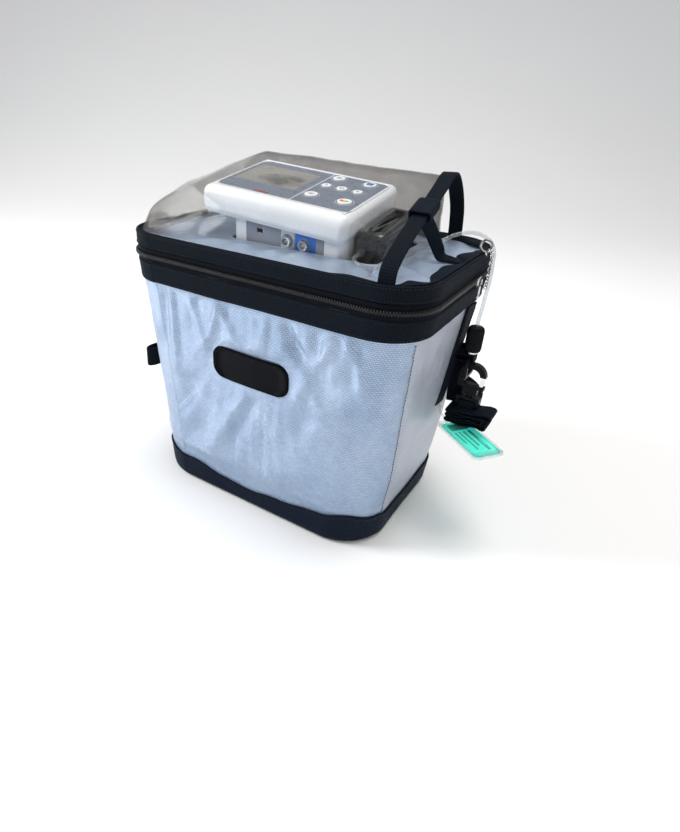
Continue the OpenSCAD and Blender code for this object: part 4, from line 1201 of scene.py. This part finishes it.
# ------------------------------------------------------------------ side webbing, rings, hooks, strap
def mir(V, F, UV):
    return [(-v[0], v[1], v[2]) for v in V], [f[::-1] for f in F], UV
wr = cr([[bw(z) / 2 + 1.6, y, z] for y, z in ((41, 211.4), (40, 200), (38, 185), (35, 168), (31, 148), (27, 128), (25, 114))], 7)
m = Multi()
a = sweep_data(wr, flat_profile(24, 2.4), [0, 1, 0], wobble=0.3, seed=8)
sx = bw(166) / 2
loop = [(sx + 1.4, 166.4), (sx + 6, 166.9), (159.5, 166.9), (160.9, 166.2), (161.1, 163.6), (160.9, 161.2), (159.6, 160.5), (sx + 5.5, 160.6), (sx + 2.6, 161.2), (sx + 2.2, 163.5)]
lp = np.array([[p[0], 35, p[1]] for p in loop])
lp = cr(np.vstack([lp, lp[:1]]), 4)[:-1]
b = sweep_data(lp, flat_profile(12, 1.1), [0, 1, 0], closed=True)
for d in (a, b):
    m.add(*d); m.add(*mir(*d))
m.make("side_webbing_tape", "web", "bag", ("side_webbing",), "black_webbing")
for sx_, nm in ((1, "r"), (-1, "l")):
    P = [[sx_ * (bw(z) / 2 + 3.0), 40 - (205 - z) * 0.17 + 10, z] for z in np.linspace(206, 172, 20)]
    stitch_run("side_stitch_a_" + nm, P, [[sx_, 0, 0]] * 20, "thread_black", "bag", pitch=2.8, length=1.9, r=0.26)
    P = [[p[0], p[1] - 19.5, p[2]] for p in P]
    stitch_run("side_stitch_b_" + nm, P, [[sx_, 0, 0]] * 20, "thread_black", "bag", pitch=2.8, length=1.9, r=0.26)

m = Multi()
run = cr([[172, 40, 111], [168, 62, 111], [152, 84, 110], [128, 97.5, 109], [90, 99.5, 108], [20, 100, 107], [-60, 100, 108], [-112, 98.5, 110], [-140, 84, 112], [-147.5, 56, 113], [-147, 10, 113], [-147, -40, 114], [-146, -66, 115], [-151, -74, 115], [-156, -66, 115], [-157.5, -40, 112], [-160, -4, 107], [-163, 31, 103]], 7)
m.add(*sweep_data(run, flat_profile(20, 2.2), [0, 0, 1], wobble=0.5, wf=0.03, seed=11))
def leaf(x1, zc, k):
    pts = [(149.2, zc - 0.9), (160, zc - 0.9 - 0.3), (x1 - 8, zc + 2.4 - 1.9), (x1, zc + 0.15), (x1 + 2.2, zc + 2.4), (x1, zc + 4.65), (x1 - 8, zc + 2.4 + 2.0), (160, zc + 1.7), (149.2, zc + 0.9), (147.7, zc)]
    q = np.array([[p[0], 33, p[1]] for p in pts])
    q = cr(np.vstack([q, q[:1]]), 7)[:-1]
    for i in range(len(q)):
        q[i][2] += 0.5 * math.sin(q[i][0] * 0.22 + k * 2) * (1 if 152 < q[i][0] < x1 - 3 else 0)
        q[i][1] += 0.8 * math.sin(k * 1.7 + q[i][0] * 0.05)
    return sweep_data(q, flat_profile(23, 1.7), [0, 1, 0], closed=True, wobble=0.3, wf=0.05, seed=20 + k)
for k, (x1, zc) in enumerate(((184, 100), (180, 105.4), (187, 110.6))):
    m.add(*leaf(x1, zc, k))
def eye_loop(z0, sg):
    # strap folded over the lower bar of the hook's eye
    pts = [(29.4, z0), (29.2, z0 + 6), (29.2, 117.5), (30.2, 119.9), (33, 120.5), (37, 120.5), (39.9, 119.9), (40.8, 117.5), (40.8, z0 + 6), (40.4, z0)]
    q = cr([[sg * 163, p[0], p[1]] for p in pts], 5)
    return sweep_data(q, flat_profile(14.6, 1.9), [1, 0, 0], wobble=0.2, seed=31)
m.add(*eye_loop(110.5, 1)); m.add(*eye_loop(101.5, -1))
# the strap's free tail hangs between the hook and the bag
tail = cr([[149.5, 44.5, 172], [149.4, 46.6, 160], [148.4, 47, 148], [147.4, 46.2, 134], [146.4, 45.8, 120], [147.4, 45.4, 110]], 7)
m.add(*sweep_data(tail, flat_profile(15, 2.0), [1, 0.1, 0], wobble=0.4, seed=41))
m.make("shoulder_strap_webbing", "web", "bag", ("shoulder_strap",), "black_webbing")

# ribbed grip on the tube
c = (157, 36, 170)
prof = [(3.1, 0), (6.2, 0), (6.9, 0.5), (7.3, 1.4), (7.55, 2.6)] + [(7.6, z) for z in np.linspace(3.4, 19.6, 14)] + [(7.45, 20.6), (7.0, 21.8), (6.4, 22.9), (5.4, 23.7), (4.0, 24.0), (2.2, 24.0)]
grip_d = lathe_data(prof, c, 144, 36, 0.55)
grip = mk("tube_grip", *grip_d[:2], "black_rib", "bag", uv=grip_d[2], repl=("tube_coupling",), slot="black_plastic")
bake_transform(tube)

# ------------------------------------------------------------------ tag
TO = np.array([176.3, 14, 93.2])
TR = np.array(Matrix.Rotation(math.radians(-36.5), 3, "Z") @ Matrix.Rotation(math.radians(1.5), 3, "Y"))
def tagp(P): return TO + np.asarray(P, float) @ TR.T
def plate(name, loop, z0, z1, mat, xf, body, bev=0.4, repl=(), slot=None, bend=None, hole=None):
    L = np.array(loop); n = len(L); c = L.mean(0)
    prof = [(z0, bev), (z0 + bev * 0.3, bev * 0.3), (z0 + bev, 0), (z1 - bev, 0), (z1 - bev * 0.3, bev * 0.3), (z1, bev)]
    V, UV = [], []
    def inset(q):
        nx = np.roll(L, -1, 0) - np.roll(L, 1, 0)
        nn = np.column_stack([nx[:, 1], -nx[:, 0]]); nn /= np.linalg.norm(nn, axis=1)[:, None] + 1e-9
        return L - nn * q
    for z, q in prof:
        Q = inset(q)
        for p in Q:
            V.append((p[0], p[1], z)); UV.append((p[0], p[1]))
    m0 = len(prof)
    # concentric fill, so the face can take a gentle bend
    fills = []
    for side, zz in ((0, z0), (1, z1)):
        Q = inset(bev)
        start = len(V)
        for f in (0.75, 0.5, 0.25, 0.02):
            for p in Q:
                w = c + (p - c) * f
                V.append((w[0], w[1], zz)); UV.append((w[0], w[1]))
        fills.append(start)
    F = grid_faces(m0, n, False, True, False)
    for side in (0, 1):
        base0 = 0 if side == 0 else (m0 - 1) * n
        rings = [base0] + [fills[side] + k * n for k in range(4)]
        for a_, b_ in zip(rings[:-1], rings[1:]):
            for k in range(n):
                f = (a_ + k, a_ + (k + 1) % n, b_ + (k + 1) % n, b_ + k)
                F.append(f if side else f[::-1])
        cap = tuple(rings[-1] + k for k in range(n))
        F.append(cap if side else cap[::-1])
    W = np.array(V, float)
    if bend is not None:
        W[:, 2] += np.array([bend(x, y) for x, y, _ in W])
    return mk(name, xf(W), F, mat, body, uv=UV, repl=repl, slot=slot)
tb = lambda x, y: 0.25 * math.sin(x * 0.09) + 0.12 * math.sin(y * 0.2 + x * 0.05)
plate("tag_card_print", rr_loop(-27.6, 29.8, -14.8, 14.8, 5), 0.02, 0.7, "tag", tagp, "bag", 0.15, ("tag_card",), "tag_green", bend=tb)
slv = plate("tag_sleeve_clear", rr_loop(-32, 32, -16.75, 16.75, 6), -0.85, 1.55, "clear_tag", tagp, "bag", 0.7, ("tag_sleeve",), "clear_plastic", bend=tb)
m = Multi()
for k, (x0, x1, y0, y1) in enumerate(((-24, -14, -9.5, 9.5), (-11, 22, 5, 8.2), (-11, 14, -0.5, 1.6), (-11, 19, -5, -3.2), (-11, 8, -9.4, -7.6))):
    L = rr_loop(x0, x1, y0, y1, min(1.0, (y1 - y0) * 0.4), 3, 3)
    n = len(L)
    V = [tagp((p[0], p[1], z + tb(p[0], p[1]))) for z in (0.6, 0.82) for p in L]
    F = [tuple(range(n - 1, -1, -1)), tuple(n + i for i in range(n))] + [(i, (i + 1) % n, n + (i + 1) % n, n + i) for i in range(n)]
    m.add(V, F)
m.make("tag_print_marks", "tagmark", "bag", slot="tag_green", smooth=False)
tl = cr([[154, 34.3, 96.5], [154, 34.3, 93.5], [154, 34, 91], [152.5, 34, 89.5], [150.5, 33.5, 89], [148, 32, 91], [147, 31, 94.5], [145.5, 29.5, 98], [143, 26.5, 102], [141.5, 23.5, 107], [141.5, 22.5, 113]], 6)
d_ = sweep_data(tl, flat_profile(2.4, 1.1), [1, 0, 0.2])
mk("tag_loop_clear", *d_[:2], "clear_tag", "bag", uv=d_[2], repl=("tag_loop",), slot="clear_plastic")

# ------------------------------------------------------------------ badge
BO = np.array([1, -bd(153) / 2 - 0.05, 153]); BR = np.array(Matrix.Rotation(math.radians(91.7), 3, "X"))
def bxf(P): return BO + np.asarray(P, float) @ BR.T
bb = lambda x, y: -0.0006 * x * x + 0.35 * math.sin(x * 0.06 + 0.6)
plate("badge_patch_blank", rr_loop(-42, 42, -16, 16, 12, 12, 10), 0.1, 1.7, "badge", bxf, "bag", 0.5, ("blank_badge",), "badge_patch", bend=bb)
L = rr_loop(-40.4, 40.4, -14.4, 14.4, 10.6, 12, 10)
q = np.array([(p[0], p[1], 1.75 + bb(p[0], p[1])) for p in L])
d_ = sweep_data(bxf(q), round_profile(0.55, 8), BR @ np.array([0, 0, 1.0]), closed=True)
mk("badge_rim", *d_[:2], "badge", "bag", uv=d_[2], slot="badge_patch")
bp, bn = [], []
for p in rr_loop(-38.6, 38.6, -12.6, 12.6, 9, 12, 10) + rr_loop(-38.6, 38.6, -12.6, 12.6, 9, 12, 10)[:1]:
    bp.append(bxf((p[0], p[1], 1.72 + bb(p[0], p[1])))); bn.append(BR @ np.array([0, 0, 1.0]))
stitch_run("badge_stitches", bp, bn, "thread_black", "bag", pitch=2.6, length=1.7, r=0.25)

# ------------------------------------------------------------------ unit: top housing
def top_case():
    V, UV, F = [], [], []
    ns, nc = 16, 10
    def L(x0, x1, y0, y1, r): return np.array(rr_loop(x0, x1, y0, y1, r, ns, nc))
    rows = []
    for z in (-20.0, -19.6, -16, -12, -9.0):
        q = 0.5 if z < -19.8 else 0
        rows.append((L(-76 + q, 73.5 - q, -57 + q, 51 - q, 7.6), np.full(4 * (ns + nc), z)))
    R = 7.2
    base = L(-76, 73.5, -57, 51, 7.6)
    n = len(base)
    dx = np.roll(base, -1, 0) - np.roll(base, 1, 0)
    nn = np.column_stack([dx[:, 1], -dx[:, 0]]); nn /= np.linalg.norm(nn, axis=1)[:, None]
    for a in np.linspace(8, 90, 10):
        t = math.radians(a)
        front = np.clip(-nn[:, 1], 0, 1)
        Rv = R + 2.6 * front ** 2
        rows.append((base - nn * (Rv * (1 - math.cos(t)))[:, None] * 0.98, 0.6 - Rv + Rv * math.sin(t)))
    rows.append((L(-69.2, 69.2, -42.7, 42.7, 8.2) , np.full(n, 0.6)))
    rows.append((L(-69.0, 69.0, -42.55, 42.55, 8.1), np.full(n, 0.3)))
    rows.append((L(-69.0, 69.0, -42.5, 42.5, 8.1), np.full(n, -1.15)))
    rows.append((L(-60, 60, -34, 34, 5), np.full(n, -1.3)))
    zmin = [x[1] for x in rows]
    for P, z in rows:
        for i in range(n):
            zz = z if np.isscalar(z) else z[i]
            V.append((P[i][0], P[i][1], zz)); UV.append((P[i][0], P[i][1]))
    r = len(rows)
    F = grid_faces(r, n, False, True, False)
    F.append(tuple((r - 1) * n + k for k in range(n)))
    # underside
    o0 = len(V)
    for P, z in ((L(-75, 72.5, -56, 50, 7), -20.15),):
        for i in range(n): V.append((P[i][0], P[i][1], z)); UV.append((P[i][0], P[i][1]))
    F += [(k, o0 + k, o0 + (k + 1) % n, (k + 1) % n) for k in range(n)]
    F.append(tuple(o0 + k for k in range(n - 1, -1, -1)))
    return mk("unit_top_case", devs(V), F, "white", "lid", uv=UV, repl=("top_housing",), slot="white_plastic")
top_case()

# printed lines and symbols on the panel and keys, all generic
def decal(name, loops, z, mat, body, slot=None, t=0.08):
    m = Multi()
    for L in loops:
        n = len(L)
        V = [dev((p[0], p[1], zz)) for zz in (z - 0.05, z + t) for p in L]
        m.add(V, [tuple(range(n - 1, -1, -1)), tuple(n + i for i in range(n))] + [(i, (i + 1) % n, n + (i + 1) % n, n + i) for i in range(n)], [(p[0], p[1]) for _ in (0, 1) for p in L])
    return m.make(name, mat, body, (), slot, smooth=False)
def rect(x0, x1, y0, y1): return [(x0, y0), (x1, y0), (x1, y1), (x0, y1)]
def ringl(cx, cy, r, w, n=24):
    return [[(cx + rr * math.cos(2 * math.pi * k / n), cy + rr * math.sin(2 * math.pi * k / n)) for k in (a, a + 1)] for a in range(n) for rr in (r,)]
def arc_band(cx, cy, r0, r1, a0, a1, n=20):
    o = [(cx + r1 * math.cos(math.radians(a0 + (a1 - a0) * k / n)), cy + r1 * math.sin(math.radians(a0 + (a1 - a0) * k / n))) for k in range(n + 1)]
    i = [(cx + r0 * math.cos(math.radians(a1 - (a1 - a0) * k / n)), cy + r0 * math.sin(math.radians(a1 - (a1 - a0) * k / n))) for k in range(n + 1)]
    return o + i
decal("panel_divider", [rect(9.2, 10.2, -41.4, 41.4)], 0.0, "line", "lid", "grey_overlay")
decal("panel_print", [arc_band(19, 33.7, 7.3, 7.8, 0, 359), arc_band(51, 33.5, 7.3, 7.8, 0, 359), arc_band(19, -19.5, 7.3, 7.8, 0, 359), arc_band(52.4, -20, 7.9, 8.5, 0, 359),
      arc_band(18.6, 9, 5.8, 6.2, 0, 359), arc_band(34.5, 9, 6.4, 6.8, 0, 359), arc_band(50.5, 9, 5.8, 6.2, 0, 359),
      rect(26.4, 27.4, 8.7, 9.3), rect(41.8, 43.2, 8.7, 9.3)], 0.0, "mark", "lid", "grey_overlay", 0.05)
K = {"menu": (19, 33.7, 12), "left": (18.6, 9, 9), "select": (34.5, 9, 10), "right": (50.5, 9, 9), "mute": (19, -19.5, 12), "power": (51, 33.5, 12), "start": (52.4, -20, 13)}
for kn, (x, y, dia) in K.items():
    prof = [(dia / 2 - 0.05, -3.4), (dia / 2, -0.2), (dia / 2, 0.4), (dia / 2 - 0.12, 0.75), (dia / 2 - 0.45, 0.97), (dia / 2 - 1.0, 1.02), (dia / 4, 0.9), (0.4, 0.82)]
    V, F, UV = lathe_data(prof, (x, y, 0), 40)
    mk("cap_" + kn, devs(V), F, {"power": "keyw"}.get(kn, "keyw"), "key_%s_cap" % kn, uv=UV, repl=("key_" + kn,), slot={"power": "key_blue", "start": "key_start"}.get(kn, "key_white"))
b_ = "key_%s_cap"
decal("mark_power", [rect(51 - 3.2, 51 + 3.2, 33.5 - 3.2, 33.5 + 3.2)], 0.93, "keyblue", b_ % "power", "key_blue", 0.12)
decal("mark_menu", [rect(16.4, 21.6, 34.8, 35.5), rect(16.4, 21.6, 33.35, 34.05), rect(16.4, 21.6, 31.9, 32.6)], 0.93, "keygrey", b_ % "menu", "key_white", 0.12)
decal("mark_left", [[(16.9, 9), (19.7, 7.2), (19.7, 10.8)]], 0.93, "keygrey", b_ % "left", "key_white", 0.12)
decal("mark_right", [[(52.2, 9), (49.4, 10.8), (49.4, 7.2)]], 0.93, "keygrey", b_ % "right", "key_white", 0.12)
decal("mark_select", [arc_band(34.5, 9, 1.6, 2.4, 0, 359)], 0.93, "keygrey", b_ % "select", "key_white", 0.12)
decal("mark_mute", [[(16.6, -20.6), (18, -20.6), (19.8, -22.2), (19.8, -16.8), (18, -18.4), (16.6, -18.4)], arc_band(19.6, -19.5, 1.9, 2.4, -50, 50)], 0.93, "keygrey", b_ % "mute", "key_white", 0.12)
decal("mark_start_go", [[(50.1, -17.9), (50.1, -22.1), (47.6, -20)]][:0] + [[(53.6, -22.0), (56.6, -20), (53.6, -18.0)]], 0.93, "keygreen", b_ % "start", "key_start", 0.12)
decal("mark_start_stop", [[(48.2, -21.6), (51.0, -21.6), (51.0, -18.4), (48.2, -18.4)]], 0.93, "keyred", b_ % "start", "key_start", 0.12)
decal("mark_start_bar", [rect(51.6, 52.9, -22.6, -17.4)], 0.93, "keyyel", b_ % "start", "key_start", 0.12)
# blue field round the lower right socket, on the connector strip
m = Multi()
L = [(23.2, -44), (42.8, -44), (42.8, -24), (23.2, -24)]
def strip(loop, y0, y1, mat, name, slot):
    n = len(loop)
    V = [dev((p[0], yy, p[1])) for yy in (y0, y1) for p in loop]
    F = [tuple(range(n)), tuple(n + i for i in range(n - 1, -1, -1))] + [(i, n + i, n + (i + 1) % n, (i + 1) % n) for i in range(n)]
    return mk(name, V, F, mat, "lid", smooth=False, uv=[(p[0], p[1]) for _ in (0, 1) for p in loop], slot=slot)
hole = [(32 + 5.9 * math.cos(2 * math.pi * k / 28), -33 + 5.9 * math.sin(2 * math.pi * k / 28)) for k in range(28)]
def framed(outer_c, hx, hz, hr, y0, y1, mat, name, slot):
    (x0, x1, z0, z1) = outer_c
    n = 32
    V, F = [], []
    for yy in (y0, y1):
        for k in range(n):
            a = 2 * math.pi * (k + 0.5) / n
            dx, dz = math.cos(a), math.sin(a)
            t = min(((x1 - hx) / dx) if dx > 0 else ((x0 - hx) / dx), ((z1 - hz) / dz) if dz > 0 else ((z0 - hz) / dz))
            V.append(dev((hx + dx * t, yy, hz + dz * t)))
        for k in range(n):
            a = 2 * math.pi * (k + 0.5) / n
            V.append(dev((hx + hr * math.cos(a), yy, hz + hr * math.sin(a))))
    for k in range(n):
        j = (k + 1) % n
        F.append((k, j, n + j, n + k)); F.append((3 * n + k, 3 * n + j, 2 * n + j, 2 * n + k))
        F.append((2 * n + k, 2 * n + j, j, k)); F.append((n + k, n + j, 3 * n + j, 3 * n + k))
    return mk(name, V, F, mat, "lid", smooth=False, uv=[(v[0], v[2]) for v in V], slot=slot)
framed((23, 43, -44.3, -23.7), 32, -33, 5.9, -50.2, -50.45, "bluepatch", "socket_field_blue", "grey_overlay")
framed((8, 21.5, -44.3, -23.7), 14.5, -33, 5.9, -50.2, -50.4, "line", "socket_field_pale", "grey_overlay")

# smoked side box
def canister():
    V, UV = [], []
    zs = [(-50.1, 2.2), (-49.6, 1.1), (-48.6, 0.35), (-47, 0)] + [(z, 0) for z in np.linspace(-44, -19, 8)] + [(-17, 0.15), (-15.6, 0.8), (-14.5, 2.0), (-14.0, 4.0), (-13.95, 8)]
    n = None
    for z, q in zs:
        L = rr_loop(74.2 + q, 100.2 - q, -40 + q, 34 - q, max(1.5, 5.5 - q * 0.4), 10, 8)
        n = len(L)
        for p in L: V.append((p[0], p[1], z)); UV.append(p)
    F = grid_faces(len(zs), n, False, True, False)
    F += [tuple(range(n - 1, -1, -1)), tuple((len(zs) - 1) * n + k for k in range(n))]
    o = mk("side_box_smoked", devs(V), F, "smoke", "lid", uv=UV, repl=("humidifier_canister",), slot="smoked_plastic")
    L = rr_loop(75.6, 98.8, -38.6, 32.6, 4.5, 10, 8)
    for z, nm in ((-19.5, "a"), (-46.2, "b")):
        L2 = np.array([dev((p[0], p[1], z)) for p in rr_loop(74.15, 100.25, -40.05, 34.05, 5.4, 10, 8)])
        d = sweep_data(L2, round_profile(0.45, 6), DRn[:, 2], closed=True)
        mk("side_box_seam_" + nm, *d[:2], "smoke", "lid", uv=d[2], slot="smoked_plastic")
    return o
canister()

# ------------------------------------------------------------------ CAD pieces that stay, with their finish
KEEP = {
    "lower_housing": ("white", "white_plastic", 0.8), "keypad_overlay": ("overlay", "grey_overlay", 0.25), "display_lens": ("display", "display_glass", 0.3),
    "display_module": ("module", None, 0.4), "alarm_lens": ("alarm", "alarm_red", 0.4), "main_board": ("board", None, 0.15), "battery_pack": ("battery", None, 1.0),
    "compressor_body": ("alu", None, 0.6), "compressor_piston": ("steel", None, 0.4), "sieve_beds": ("alu", None, 0.6), "valve_manifold": ("manifold", None, 0.5),
    "product_tank": ("alu", None, 0.8), "fan_frame": ("black", None, 0.3), "fan_rotor": ("black", None, 0.2), "intake_filter": ("filter", None, 0.4),
    "connector_plate": ("plate", "grey_overlay", 0.3), "usb_port": ("steel", None, 0.2), "round_sockets": ("chrome", "chrome_metal", 0.35), "outlet_barb": ("clear", "clear_plastic", 0.2),
    "d_rings": ("black", "black_plastic", 0.9), "snap_hooks": ("black", "black_plastic", 1.1), "right_snap_gate": ("chrome", "chrome_metal", 0.5), "left_snap_gate": ("chrome", "chrome_metal", 0.5),
    "coupling_nozzle": ("chrome", "chrome_metal", 0.3), "zip_slider": ("chrome", "chrome_metal", 0.3), "zip_pull": ("chrome", "chrome_metal", 0.25),
    "clasp_ring": ("chrome", "chrome_metal", 0.0), "pull_chain": ("chrome", "chrome_metal", 0.0)}
for n, (mt, sl, bev) in KEEP.items():
    o = NODES[n]
    o.data.materials.clear()
    o.data.materials.append(M[mt])
    o.data.polygons.foreach_set("use_smooth", [True] * len(o.data.polygons))
    if bev:
        md = o.modifiers.new("edge", "BEVEL")
        md.width = bev * S
        md.segments = 3
        md.limit_method = "ANGLE"
        md.angle_limit = math.radians(32)
        md.harden_normals = True
        md.use_clamp_overlap = True

# ------------------------------------------------------------------ stage and light
def stage():
    def lvl(p): return p
    s = 7.0
    V = []
    n = 70
    for i in range(n + 1):
        for j in range(n + 1):
            x = -s + 2 * s * i / n; y = -s + 2 * s * j / n
            z = -0.0008 + 0.0 * x
            t = -0.54 * x + 0.84 * y
            if t > 1.2: z += (t - 1.2) ** 2 * 0.3
            V.append((x, y, z))
    me = bpy.data.meshes.new("floor")
    me.from_pydata(V, [], grid_faces(n + 1, n + 1, False, False, True))
    me.shade_smooth()
    m, nt, b = new_mat("floor_paper")
    nt.links.new(ramp(nt, noise_n(nt, coords(nt), 3, 3), [(0.2, (0.96, 0.96, 0.96)), (0.8, (0.98, 0.98, 0.98))]), b.inputs["Base Color"])
    b.inputs["Roughness"].default_value = 0.9
    b.inputs["Specular IOR Level"].default_value = 0.1
    me.materials.append(m)
    o = bpy.data.objects.new("floor", me)
    SC.collection.objects.link(o)
stage()
def area(name, loc, target, size, power, col=(1, 1, 1), sy=None):
    l = bpy.data.lights.new(name, "AREA")
    l.shape = "RECTANGLE"; l.size = size; l.size_y = sy or size
    l.energy = power; l.color = col
    o = bpy.data.objects.new(name, l)
    SC.collection.objects.link(o)
    o.location = loc
    d = Vector(target) - Vector(loc)
    o.rotation_euler = d.to_track_quat("-Z", "Y").to_euler()
    return o
area("key", (-1.25, -0.75, 1.05), (0, 0, 0.15), 0.55, 22, (0.97, 0.985, 1.0))
area("fill", (1.6, -1.3, 0.8), (0, 0, 0.15), 1.2, 6, (1.0, 0.98, 0.96))
area("top", (0.25, 0.35, 1.8), (0, 0, 0.2), 1.0, 18, (1.0, 0.97, 0.93))
w = bpy.data.worlds.new("studio")
w.use_nodes = True
w.node_tree.nodes["Background"].inputs[0].default_value = (0.97, 0.98, 1.0, 1)
w.node_tree.nodes["Background"].inputs[1].default_value = 0.5
SC.world = w
SC.view_settings.view_transform = "Standard"
SC.view_settings.look = "None"
